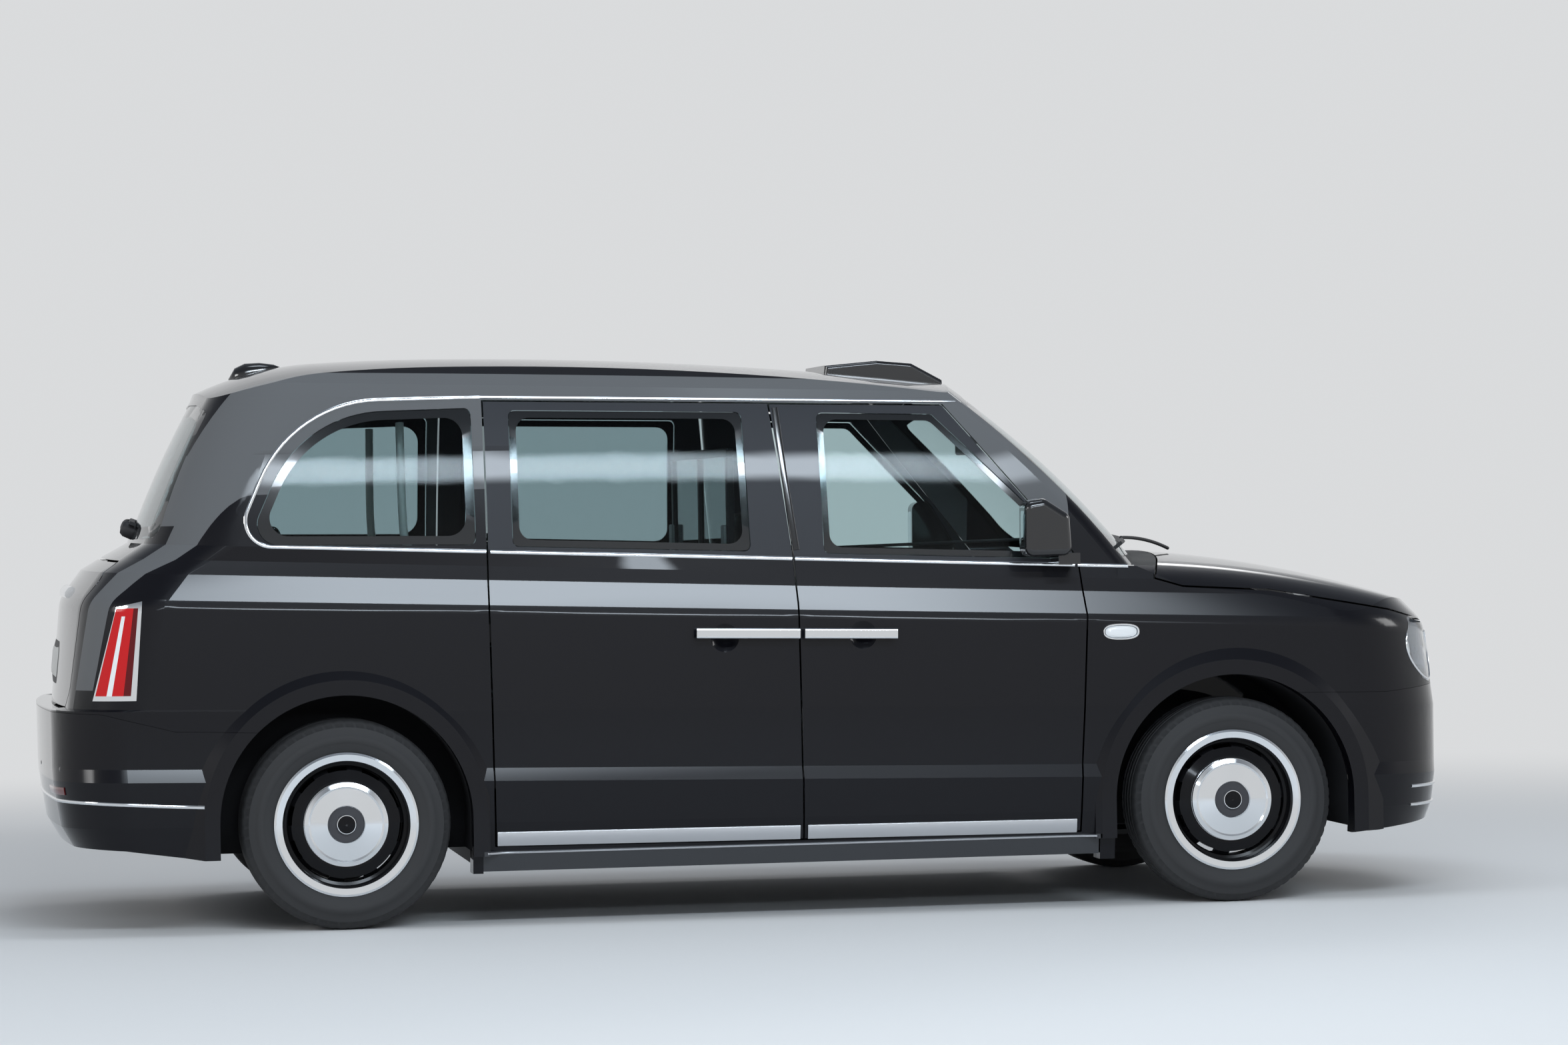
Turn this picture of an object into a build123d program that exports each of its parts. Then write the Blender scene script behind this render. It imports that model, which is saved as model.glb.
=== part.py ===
from build123d import *
import os
from math import asin, atan, cos, degrees, radians, sin, sqrt, tan

# Taxi cab. Millimetres, +X forward, +Y left, +Z up, ground at z = 0, origin at mid-length.
# Pieces are drawn for the left side; what crosses the middle is joined to its mirror image.

# Overall sizes
LENGTH = 4857.0
WIDTH = 1874.0
HEIGHT = 1888.0
WHEELBASE = 2985.0
FRONT_OVERHANG = 890.5

# Walls, panes and gaps
DOOR_WALL = 92.0
ROOF_WALL = 46.0
WING_WALL = 60.0
LID_WALL = 26.0
BUMPER_WALL = 48.0
PANE = 5.0
PANE_INSET = 5.0
PANE_GAP = 0.3
SHUT_GAP = 6.0
LAMP_GAP = 1.0
SEAT_GAP = 0.3

GRILLE_DEPTH = 42.0
GRILLE_FRAME = 14.0
GRILLE_BARS = 13
GRILLE_PITCH = 32.0
INTAKE_DEPTH = 26.0
INTAKE_BARS = (372.0, 404.0)
INTAKE_BAR = 9.0
LENS = 5.0
LAMP_DEPTH = 120.0
BOWL_DEPTH = 100.0
BOWL_RIM = 9.0

# Floors
UNDERSIDE_Z = 178.0
BOARD_TOP_Z = 245.0
FLOOR_UNDER_Z = 330.0
FLOOR_Z = 365.0
BOOT_FLOOR_Z = 600.0
FLOOR_SHEET = 40.0
SILL_Y = 812.0
SILL_IN_Y = 720.0

# Wheels and running gear
TYRE_R = 345.0
TYRE_W = 215.0
RIM_R = 222.0
WHEEL_FACE_Y = 905.0
SPINDLE_R = 30.0
RUNNING = 0.1
KINGPIN_IN = 22.0
KINGPIN_R = 14.0
ARM_RISE = 112.0
ARM_THICK = 24.0
LIP_R = 412.0
ARCH_FLAT = 12.0
HOUSING_WALL = 8.0
FRONT_HOUSING_Y = 455.0
RAIL_Y = 430.0
RAIL_Z = 440.0
RAIL_END_X = 2250.0
REAR_HOUSING_Y = 640.0

# Shoulder of the body and the lips round its wheel arches
SHOULDER_SOFT = 110.0
FLARE_FLAT = 50.0
FLARE_RUN = 62.0
FLARE_IN_Y = 850.0
FLARE_EDGE_Y = 900.0
FLARE_LOW_Z = 230.0
DOORWAY_X = (-980.0, 1056.0)

# Cuts between panels
ROOF_SEAM_Y = 650.0
TAIL_SEAM_Y = 760.0
FIREWALL_X = 1160.0
FIREWALL = 40.0
BAY_END_X = 2290.0
HINGE_Y = 930.0
FRONT_HINGE_X = 1008.0
REAR_HINGE_X = -935.0
HINGE_LEVELS = (480.0, 960.0)
HANDLE_Z = 940.0
HANDLE_Y = 950.0
HANDLE_T = 17.0
HANDLE_HALF = 17.0
HANDLE_ROUND = 6.0
HANDLE_TILT = 1.3
CUP_R = 50.0
CUP_DEPTH = 22.0

FRONT_X = LENGTH / 2
REAR_X = -LENGTH / 2
HALF = WIDTH / 2
AXLE_FRONT = FRONT_X - FRONT_OVERHANG
AXLE_REAR = AXLE_FRONT - WHEELBASE
WHEEL_Y = WHEEL_FACE_Y - TYRE_W / 2
KINGPIN_Y = WHEEL_Y - KINGPIN_IN
SIDE_IN = 500.0
FAR = 1000.0

# Levels of the body: height at mid-length, fall per millimetre forward, then the plan
# outline there: front end back from the nose, bow of the front, rear end in from the tail,
# bow of the rear, half width in from the widest, bow of the side, corner radii
LEVELS = {
    "under": (165, 0.006, 78, 200, 128, 60, 40, 15, 360, 220),
    "skirt": (330, 0.010, 18, 205, 28, 60, 12, 15, 370, 230),
    "lip": (458, 0.020, 4, 210, 4, 60, 0, 15, 380, 240),
    "ledge": (500, 0.020, 2, 210, 2, 60, 14, 15, 380, 240),
    "bumper": (688, 0.020, 0, 215, 0, 62, 8, 16, 390, 250),
    "waist": (694, 0.020, 1, 215, 52, 66, 8, 16, 390, 250),
    "shoulder": (1005, 0.035, 22, 240, 84, 90, 16, 20, 400, 280),
    "crease": (1098, 0.038, 104, 250, 158, 90, 44, 22, 400, 285),
    "seam": (1143, 0.039, 178, 260, 233, 90, 51, 26, 400, 290),
    "cowl": (1143, 0.039, 1008, 190, 233, 90, 51, 26, 120, 290),
    "nose_top": (1300, 0.039, 400, 260, 328, 90, 87, 30, 400, 290),
    "belt": (1188, 0.041, 1043, 190, 318, 65, 57, 14, 70, 300),
    "window": (1450, 0.032, 1288, 178, 418, 62, 109, 13, 66, 280),
    "drip": (1715, 0.0217, 1612, 158, 543, 60, 190, 12, 60, 260),
    "cant": (1755, 0.0260, 1661, 150, 562, 58, 221, 12, 60, 250),
    "cove": (1990, 0.0260, 1948, 140, 672, 56, 611, 12, 60, 240),
}

# Levels whose side follows another level's arc
SIDE_LIKE = {"cowl": "seam"}

# Longitudinal arcs of the roof from its highest point: radius and length in x
ROOF_PEAK_X = -1102.0
ROOF_FRONT = (15370.0, 2050.0)
ROOF_REAR = ((7000.0, 380.0), (1067.0, 720.0))
ROOF_CROWN_R = 4380.0
# Bonnet: one long arc, from its highest point
BONNET_PEAK = (1171.0, 1191.0)
BONNET_ARC_R = 3550.0
BONNET_CROWN_R = 6900.0
BONNET_FLAT_Y = 680.0
BONNET_SHOULDER_R = 350.0
BONNET_REAR_X = 1428.0
BONNET_REAR_Y = 840.0
BONNET_REAR_BOW = 132.0

# Side view outlines, x and z, with a corner radius where a third number follows
FRONT_DOOR = (
    (-4, 1706), (592, 1693), (1022, 1172), (1042, 976), (1013, 442), (1007, 255), (65, 255),
    (60, 1040), (52, 1191),
)
REAR_DOOR = (
    (-964, 1727), (-4, 1706), (52, 1191), (60, 1040), (65, 255), (-960, 262), (-969, 1040),
    (-968, 1219),
)
FRONT_WINDOW = (
    (156, 1672, 22), (552, 1662, 22), (862, 1350, 22), (975, 1168, 22), (156, 1200, 22),
)
REAR_WINDOW = ((-880, 1694, 22), (-98, 1678, 22), (-90, 1212, 22), (-884, 1242, 22))
QUARTER_WINDOW = ((-1004, 1704, 22), (-1560, 1692, 420), (-1757, 1262, 70), (-1004, 1250, 22))
TAIL_LAMP = ((-2096, 1088), (-2179, 1070), (-2260, 766), (-2121, 766))
FRONT_BUMPER = (
    (1700, 703), (2081, 696), (2300, 712), (2520, 716), (2520, 273), (1964, 223), (1700, 221),
)
REAR_BUMPER = (
    (-1700, 652), (-1998, 662), (-2230, 722), (-2520, 736), (-2520, 300), (-2161, 278),
    (-1910, 242), (-1700, 242),
)
BONNET_SHUT = (
    (1260, 1104), (1382, 1068), (1688, 1049), (2123, 973), (2300, 925), (2520, 905),
    (2520, 1400), (1260, 1400),
)
COWL_SLOPE = ((-2600, 0), (1400, 0), (1400, 1060), (1225, 1139), (-2600, 1296))

# End view outlines, half of each from the middle out, y and z
SCREEN = ((0, 1758), (400, 1740), (716, 1688), (776, 1515), (836, 1170), (400, 1178), (0, 1182))
BACK_GLASS = ((0, 1740), (350, 1734), (605, 1710), (712, 1290), (0, 1284))
BOOT_LID = ((0, 1222), (640, 1216), (700, 1160), (700, 800), (640, 740), (0, 740))
HEADLAMP = ((560, 838), (581, 906), (634, 950), (700, 962), (766, 940), (806, 890), (812, 838),
            (800, 778), (756, 734), (700, 720), (634, 728), (581, 770))
GRILLE = ((0, 887), (430, 880), (430, 735), (0, 730))
INTAKE = ((0, 436), (500, 432), (548, 345), (0, 340))

# Free edge of both doors at the middle post, x and z
FREE_EDGE = ((-10, 1760), (-4, 1706), (52, 1191), (60, 1040), (65, 255), (65, 200))
# Handle of each door: rear and front end in x, middle of the finger cup
HANDLES = {"front": (72.0, 384.0, 275.0), "rear": (-290.0, 56.0, -190.0)}
# Pads that carry the door hinges: outline of the door, rear and front end in x
HINGE_PADS = ((FRONT_DOOR, 980.0, 1075.0), (REAR_DOOR, -1000.0, -940.0))
HINGE_PAD_Y = (HINGE_Y - 75, HINGE_Y - 35)
HINGE_PAD_HALF = 30.0
BONNET_PAD = (1330.0, 1400.0, 770.0, 850.0, 1020.0, 1140.0)

# Turned outline of a tyre: radius, distance out from the middle of the wheel
TYRE_PROFILE = (
    (RIM_R, -88), (RIM_R + 22, -100), (RIM_R + 62, -107.5), (RIM_R + 98, -98), (TYRE_R - 6, -86),
    (TYRE_R, -66), (TYRE_R, 66), (TYRE_R - 6, 86), (RIM_R + 98, 98), (RIM_R + 62, 107.5),
    (RIM_R + 22, 100), (RIM_R, 88),
)
# Turned outline of a rim: hub, back of the dish, barrel, bead, trim ring, dish, hub cap
RIM_PROFILE = (
    (SPINDLE_R + RUNNING, 6), (70, 6), (84, 44), (150, 56), (184, 28), (194, -70), (204, -88),
    (RIM_R, -88), (RIM_R, 88), (RIM_R + 13, 96.5), (RIM_R + 14, 99), (RIM_R + 7, 102),
    (209, 100), (203, 88), (202, 46), (192, 44), (178, 66), (147, 75), (138, 74), (137, 86),
    (124, 91), (118, 89), (62, 96), (57, 90), (35, 90), (31, 99), (0, 102), (0, 70),
    (SPINDLE_R + RUNNING, 70),
)
SLOT_COUNT = 10
SLOT_RADII = (176.0, 188.0)
SLOT_ANGLE = 20.0

# Running gear
SPINDLE_END_Y = WHEEL_Y + 50
KNUCKLE_HALF = 30.0
KNUCKLE_BOSS_R = 20.0
KNUCKLE_GAP = 6.0
# Suspension arm in plan, half of it: half width in x, distance from the middle
ARM_PLAN = ((26, KINGPIN_Y + 22), (34, 600), (130, 430), (130, 0))
UPPER_ARM_IN_Y = 380.0
TOWER_HALF = 120.0
RAIL_WIDE = 50.0
RAIL_HALF = 45.0
RAIL_CROSS = 40.0
# Rear drive unit: half length, half width, bottom and top from the axle
DRIVE_BLOCKS = ((170.0, 520.0, -110.0, 60.0), (80.0, 600.0, -60.0, 40.0))
HUB_R = 62.0
HUB_Y = (590.0, 700.0)
POST_X = 120.0
POST_HALF = 30.0
POST_Y = (300.0, 380.0)

# Cabin. Side view outlines, x and z
DASH_SIDE = ((880, 560), (1120, 560), (1120, 1060), (900, 1085), (760, 1000), (800, 860))
SEAT_SIDE = (
    (120, FLOOR_Z), (540, FLOOR_Z), (620, 560), (600, 620), (180, 640), (60, 1180), (10, 1180),
    (-20, 1340), (-70, 1340), (-60, 1180), (20, 600),
)
BENCH_SIDE = (
    (-1040, BOOT_FLOOR_Z), (-1020, 760), (-1060, 830), (-1500, 790), (-1620, 1330), (-1700, 1330),
    (-1620, BOOT_FLOOR_Z),
)
DRIVER_Y = -370.0
SEAT_HALF = 250.0
BENCH_HALF = 600.0
STEERING_PLACE = (600.0, 976.0)
STEERING_LEAN = -65.0
STEERING_R = 178.0
STEERING_RIM = 15.0
COLUMN_R = 26.0
COLUMN_LONG = 240.0
COLUMN_DROP = 127.0
SPOKE = (160.0, 34.0, 14.0)
SPOKE_R = 95.0
WHEEL_HUB_R = 34.0
PARTITION_X = (-130.0, -105.0)
# Partition: half width, bottom and top
PARTITION_STEPS = ((700.0, FLOOR_Z, 1100.0), (640.0, 1100.0, 1560.0))
ENGINE = (1250.0, 1880.0, -330.0, 330.0, TYRE_R - ARM_RISE, 800.0)

# Outside fittings
SIGN_SIDE = (
    (288, 1800), (293, 1846), (476, 1861), (599, 1850), (705, 1792), (705, 1740), (288, 1740),
)
SIGN_HALF = 200.0
SIGN_SOFT = 14.0
MIRROR_SIDE = ((812, 1178), (814, 1362), (880, 1372), (966, 1316), (974, 1180))
MIRROR_Y = (916.0, 1017.0)
MIRROR_ARM = (930.0, 1004.0, 800.0, 985.0, 1150.0, 1188.0)
# Projectors in each headlamp: distance from the middle, height, radius
PROJECTORS = ((640.0, 845.0, 46.0), (728.0, 838.0, 40.0))
PROJECTOR_IN = 42.0
PROJECTOR_X = (1990.0, 2390.0)


def block(x0, x1, y0, y1, z0, z1):
    """a box by its corners"""
    size = Box(x1 - x0, y1 - y0, z1 - z0)
    return Pos((x0 + x1) / 2, (y0 + y1) / 2, (z0 + z1) / 2) * size


def mirrored(shape):
    return mirror(shape, about=Plane.XZ)


def whole(left):
    """a piece that crosses the middle, from its left half"""
    return left + mirrored(left)


def save(name, shape):
    export_step(shape, "parts/" + name + ".step")


def save_pair(name, left):
    save(name + "_left", left)
    save(name + "_right", mirrored(left))


def side_arc(name, inset):
    """the bowed side of the plan at a level, as a function of x"""
    row = LEVELS[SIDE_LIKE.get(name, name)]
    front = FRONT_X - row[2] - inset - row[3]
    rear = REAR_X + row[4] + inset + row[5]
    middle = (front + rear) / 2
    radius = ((front - rear) ** 2 / 4 + row[7] ** 2) / (2 * row[7])
    top = HALF - row[6] - inset
    return lambda x: top - radius + sqrt(radius ** 2 - (x - middle) ** 2)


def half_bow(end_x, bow, side):
    """point a quarter of the way round the arc that bows an end in plan"""
    radius = (side ** 2 + bow ** 2) / (2 * abs(bow))
    sign = 1 if bow > 0 else -1
    return (end_x - sign * (radius - sqrt(radius ** 2 - side ** 2 / 4)), side / 2)


def plan_outline(name, inset):
    """left half of the body's plan at a level: three arcs with rounded corners"""
    _, _, nose, bow_f, tail, bow_r, _, _, r_front, r_rear = LEVELS[name]
    front = FRONT_X - nose - inset
    rear = REAR_X + tail + inset
    side = side_arc(name, inset)
    nose_corner = (front - bow_f, side(front - bow_f))
    tail_corner = (rear + bow_r, side(rear + bow_r))
    middle = (nose_corner[0] + tail_corner[0]) / 2
    edges = [
        ThreePointArc((front, 0), half_bow(front, bow_f, nose_corner[1]), nose_corner),
        ThreePointArc(nose_corner, (middle, side(middle)), tail_corner),
        ThreePointArc(tail_corner, half_bow(rear, -bow_r, tail_corner[1]), (rear, 0)),
        Line((rear, 0), (front, 0)),
    ]
    face = make_face(Wire(edges))
    for corner, radius in ((nose_corner, r_front), (tail_corner, r_rear)):
        near = face.vertices().sort_by_distance((corner[0], corner[1], 0))[0]
        face = fillet(near, max(radius - inset, 20))
    return face


def layers(*names, inset=0.0, ruled=True):
    """left half of the body between the plan outlines of the named levels"""
    faces = []
    for name in names:
        z, fall = LEVELS[name][:2]
        tilt = Rot(0, degrees(atan(fall)), 0)
        faces.append(Pos(0, 0, z) * tilt * plan_outline(name, inset))
    return loft(faces, ruled=ruled)


def glasshouse(inset):
    """left half of the cabin above the belt, up to and past the roof"""
    return layers("belt", "window", "drip", inset=inset, ruled=False) + layers(
        "drip", "cant", "cove", inset=inset
    )


def swept_arc(section, centre_x, centre_z, angle):
    """turns a cross-section about a line across the vehicle, forward for a positive angle"""
    direction = (0, 1, 0) if angle > 0 else (0, -1, 0)
    return revolve(section, Axis((centre_x, 0, centre_z), direction), abs(angle))


def roof_form(drop):
    """left half of the roof's form: one crown swept along arcs that meet tangent"""
    top = HEIGHT - drop
    crown = ROOF_CROWN_R - drop
    edge_y = 800.0
    edge_z = top - crown + sqrt(crown ** 2 - edge_y ** 2)
    mid_z = top - crown + sqrt(crown ** 2 - edge_y ** 2 / 4)
    base = top - 430
    outline = [
        ThreePointArc((0, top), (edge_y / 2, mid_z), (edge_y, edge_z)),
        *Polyline((edge_y, edge_z), (edge_y, base), (0, base), (0, top)).edges(),
    ]
    section = Pos(ROOF_PEAK_X, 0, 0) * (Plane.YZ * make_face(Wire(outline)))
    radius, run = ROOF_FRONT
    form = swept_arc(section, ROOF_PEAK_X, HEIGHT - radius, degrees(asin(run / radius)))
    centre_x, centre_z, turned = ROOF_PEAK_X, HEIGHT, 0.0
    for radius, run in ROOF_REAR:
        centre_x = centre_x if turned == 0 else centre_x + (last - radius) * -sin(turned)
        centre_z = HEIGHT - radius if turned == 0 else centre_z + (last - radius) * cos(turned)
        step = asin(sin(turned) + run / radius) - turned
        form += swept_arc(section, centre_x, centre_z, -degrees(step))
        section = section.rotate(Axis((centre_x, 0, centre_z), (0, 1, 0)), -degrees(step))
        turned += step
        last = radius
    return form


def bonnet_form(drop):
    """left half of the bonnet's form: crown and rounded shoulder swept along one arc"""
    peak_x, peak_z = BONNET_PEAK
    top = peak_z - drop
    crown = BONNET_CROWN_R - drop
    shoulder = BONNET_SHOULDER_R - drop
    lean = asin(BONNET_FLAT_Y / BONNET_CROWN_R)
    flat = (crown * sin(lean), top - crown * (1 - cos(lean)))
    centre = (flat[0] - shoulder * sin(lean), flat[1] - shoulder * cos(lean))
    end = radians(68)
    middle = (lean + end) / 2
    low = (centre[0] + shoulder * sin(end), centre[1] + shoulder * cos(end))
    points = [
        (crown * sin(lean / 2), top - crown * (1 - cos(lean / 2))),
        (centre[0] + shoulder * sin(middle), centre[1] + shoulder * cos(middle)),
    ]
    outline = [
        ThreePointArc((0, top), points[0], flat),
        ThreePointArc(flat, points[1], low),
        *Polyline(low, (low[0], 100), (0, 100), (0, top)).edges(),
    ]
    section = Pos(peak_x, 0, 0) * (Plane.YZ * make_face(Wire(outline)))
    centre_z = peak_z - BONNET_ARC_R
    angle = degrees(asin((FRONT_X + 100 - peak_x) / (centre_z * -1 + 100)))
    back = degrees(asin(240 / BONNET_ARC_R))
    return swept_arc(section, peak_x, centre_z, angle) + swept_arc(
        section, peak_x, centre_z, -back
    )


def side_prism(outline, y0, y1, grow=0.0, round_r=0.0):
    """a side view outline pushed out from y0 to y1"""
    face = make_face(Polyline(*[corner[:2] for corner in outline], close=True))
    if round_r:
        face = fillet(face.vertices(), round_r)
    for x, z, radius in (corner for corner in outline if len(corner) > 2):
        face = fillet(face.vertices().sort_by_distance((x, z, 0))[0], radius)
    if grow:
        face = offset(face, grow)
    return extrude(Pos(0, y0, 0) * (Plane.XZ * face), y1 - y0, dir=(0, 1, 0))


def end_prism(half_outline, x0, x1, grow=0.0, round_r=0.0, middle=True):
    """an end view outline pushed out from x0 to x1; its left half if it crosses the middle"""
    outline = list(half_outline)
    if middle:
        outline += [(-y, z) for y, z in reversed(half_outline) if y > 0]
    face = make_face(Polyline(*outline, close=True))
    if round_r:
        face = fillet([v for v in face.vertices() if abs(v.X) > 1], round_r)
    if grow:
        face = offset(face, grow)
    solid = extrude(Pos(x0, 0, 0) * (Plane.YZ * face), x1 - x0, dir=(1, 0, 0))
    if middle:
        solid &= block(x0 - 10, x1 + 10, 0, FAR, 0, 2000)
    return solid


def edges_at(solid, name):
    """the edges of a body that lie at a level"""
    z, fall = LEVELS[name][:2]
    found = []
    for edge in solid.edges():
        points = [edge.position_at(share) for share in (0, 0.5, 1)]
        if points[1].Y > 1 and all(abs(p.Z - z + fall * p.X) < 0.5 for p in points):
            found.append(edge)
    return found


def arch_flare(axle_x):
    """the lip that stands out round a wheel arch, with its legs down to the sill"""
    middle = TYRE_R + ARCH_FLAT
    inner = LIP_R - ARCH_FLAT
    outer = LIP_R + FLARE_FLAT + FLARE_RUN
    profile = [(inner, FLARE_IN_Y), (inner, HALF - 1), (LIP_R + FLARE_FLAT, HALF - 1),
               (outer, FLARE_EDGE_Y), (outer, FLARE_IN_Y)]
    bow = Pos(axle_x, 0, middle) * ring(profile) & block(-2600, 2600, 0, FAR, middle, 1200)
    for side in (-1, 1):
        plan = make_face(Polyline(*[(axle_x + side * r, y) for r, y in profile], close=True))
        bow += extrude(Pos(0, 0, FLARE_LOW_Z) * plan, middle - FLARE_LOW_Z)
    return bow - block(*DOORWAY_X, 0, FAR, 0, 1400)


def body_form(inset, drop):
    """left half of the whole body's outer form, pulled in by inset and lowered by drop"""
    lower = layers("under", "skirt", "lip", "ledge", "bumper", "waist", "shoulder", "crease",
                   "seam", inset=inset)
    if not inset:
        lower = fillet(edges_at(lower, "shoulder"), SHOULDER_SOFT)
        for axle_x in (AXLE_FRONT, AXLE_REAR):
            lower += arch_flare(axle_x)
    lower += layers("cowl", "belt", inset=inset)
    lower += layers("seam", "nose_top", inset=inset) & block(1010, 2600, 0, FAR, 800, 1400)
    lower &= bonnet_form(drop) + side_prism(COWL_SLOPE, 0, FAR)
    upper = glasshouse(inset) & (roof_form(drop) + block(-2600, 1600, 0, FAR, 1000, 1560))
    return lower + upper


def core_form():
    """left half of the space inside the walls of cabin and boot, down past the floor"""
    lower = layers("under", "lip", "bumper", "waist", "crease", "belt", inset=DOOR_WALL)
    upper = Pos(0, 0, -28) * glasshouse(ROOF_WALL)
    upper &= roof_form(ROOF_WALL) + block(-2600, 1600, 0, FAR, 1000, 1500)
    ahead = block(-2600, FIREWALL_X, 0, FAR, 0, 2000)
    return (lower + upper) & ahead


def bay_form():
    """left half of the space between the front wings, open below"""
    bay = layers("under", "bumper", "shoulder", "crease", "nose_top", inset=WING_WALL)
    bay &= bonnet_form(LID_WALL + 4)
    return bay & block(FIREWALL_X, BAY_END_X, 0, FAR, 0, 1400)


def arch_void(axle_x, inner_y, grow=0.0):
    """the space of the left wheel: a round-topped outline from inner_y outwards"""
    radius = LIP_R + grow
    drum = Rot(90, 0, 0) * Cylinder(radius, FAR + 100 - inner_y)
    drum = Pos(axle_x, (inner_y + FAR + 100) / 2, TYRE_R + ARCH_FLAT) * drum
    below = block(axle_x - radius, axle_x + radius, inner_y, FAR + 100, 60, TYRE_R + ARCH_FLAT)
    return drum + below


def skin_half(z):
    """half width of the body at mid-length at a height"""
    rows = sorted((level[0], HALF - level[6]) for level in LEVELS.values())
    for (z0, half0), (z1, half1) in zip(rows, rows[1:]):
        if z0 <= z <= z1:
            return half0 + (half1 - half0) * (z - z0) / max(z1 - z0, 1)
    return rows[-1][1]


def swing_form(hinge_x, edge):
    """what a door may fill: its free edge turned about its own hinge line"""
    points = []
    for (x0, z0), (x1, z1) in zip(edge, edge[1:]):
        for share in (0, 0.25, 0.5, 0.75):
            x, z = x0 + (x1 - x0) * share, z0 + (z1 - z0) * share
            reach = abs(x - hinge_x) - SHUT_GAP / 2
            points.append((sqrt(reach ** 2 + (HINGE_Y - skin_half(z)) ** 2), z))
    points.append((points[-1][0], edge[-1][1]))
    outline = [(0, points[0][1])] + points + [(0, points[-1][1])]
    face = make_face(Polyline(*outline, close=True))
    turned = revolve(Plane.XZ * face, Axis.Z)
    return Pos(hinge_x, HINGE_Y, 0) * turned


def make_doors(wall):
    """left doors with their windows cut, and the panes that fill them"""
    layer = layers("belt", "window", "drip", inset=PANE_INSET, ruled=False)
    layer -= layers("belt", "window", "drip", inset=PANE_INSET + PANE, ruled=False)
    panes = {"front": FRONT_WINDOW, "rear": REAR_WINDOW, "quarter": QUARTER_WINDOW}
    for name, outline in panes.items():
        pane = layer & side_prism(outline, SIDE_IN, FAR, grow=-PANE_GAP)
        if name == "quarter":
            save("quarter_glasses", Compound(children=[pane, mirrored(pane)]))
        else:
            save_pair(name + "_door_glass", pane)
    for name, outline, hinge_x, past in (
        ("front", FRONT_DOOR, FRONT_HINGE_X, -60), ("rear", REAR_DOOR, REAR_HINGE_X, 60),
    ):
        outline = [(x + past if (x, z) in FREE_EDGE else x, z) for x, z in outline]
        door = wall & side_prism(outline, SIDE_IN, FAR, grow=-SHUT_GAP / 2)
        door &= swing_form(hinge_x, FREE_EDGE)
        door -= side_prism(panes[name], SIDE_IN, FAR)
        save_pair(name + "_door", door_handle(door, *HANDLES[name]))


def door_handle(door, x0, x1, cup_x):
    """a round-edged bar on two posts over a dished finger cup"""
    dish = (CUP_R ** 2 + CUP_DEPTH ** 2) / (2 * CUP_DEPTH)
    skin_y = HALF - 11
    door -= Pos(cup_x, skin_y + dish - CUP_DEPTH, HANDLE_Z - 10) * Sphere(dish)
    half, middle = (x1 - x0) / 2, (x0 + x1) / 2
    slope = tan(radians(HANDLE_TILT))
    bar = block(-half, half, HANDLE_Y, HANDLE_Y + HANDLE_T, -HANDLE_HALF, HANDLE_HALF)
    bar = Rot(0, HANDLE_TILT, 0) * fillet(bar.edges().filter_by(Axis.X), HANDLE_ROUND)
    bar = Pos(middle, 0, HANDLE_Z - middle * slope) * bar
    for x in (x0 + 24, x1 - 24):
        z = HANDLE_Z - x * slope
        bar += block(x - 16, x + 16, skin_y - 20, HANDLE_Y + 6, z - 11, z + 11)
    return door + bar


def bonnet_zone(grow):
    """where the bonnet lies: above its side shut line, ahead of its bowed rear edge"""
    radius = (BONNET_REAR_Y ** 2 + BONNET_REAR_BOW ** 2) / (2 * BONNET_REAR_BOW)
    behind = Pos(BONNET_REAR_X - radius, 0, 1200) * Cylinder(radius - grow, 800)
    return side_prism(BONNET_SHUT, 0, FAR, grow=grow) - behind


def opened(shell):
    """doors, windows, lids and lamps cut out of the left half of the shell"""
    for outline in (FRONT_DOOR, REAR_DOOR):
        shell -= side_prism(outline, SIDE_IN, FAR, grow=SHUT_GAP / 2)
    shell -= side_prism(QUARTER_WINDOW, SIDE_IN, FAR)
    shell -= end_prism(SCREEN, 560, 1500, round_r=24)
    shell -= end_prism(BACK_GLASS, -2200, -1700, round_r=40)
    shell -= end_prism(BOOT_LID, -2500, -2100, grow=SHUT_GAP / 2, round_r=50)
    shell -= bonnet_zone(SHUT_GAP / 2)
    shell -= side_prism(TAIL_LAMP, 620, FAR, grow=LAMP_GAP)
    shell -= end_prism(HEADLAMP, 1950, 2500, grow=LAMP_GAP, middle=False)
    shell -= end_prism(GRILLE, 2200, 2500)
    for outline in (FRONT_BUMPER, REAR_BUMPER):
        shell -= side_prism(outline, 0, FAR, grow=LAMP_GAP)
        ends = [x for x, _ in outline]
        shell -= block(min(ends), max(ends), 0, FAR, 0, outline[-2][1] + 60)
    for axle_x, inner in ((AXLE_FRONT, FRONT_HOUSING_Y), (AXLE_REAR, REAR_HOUSING_Y)):
        shell -= arch_void(axle_x, inner)
    return shell


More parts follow.
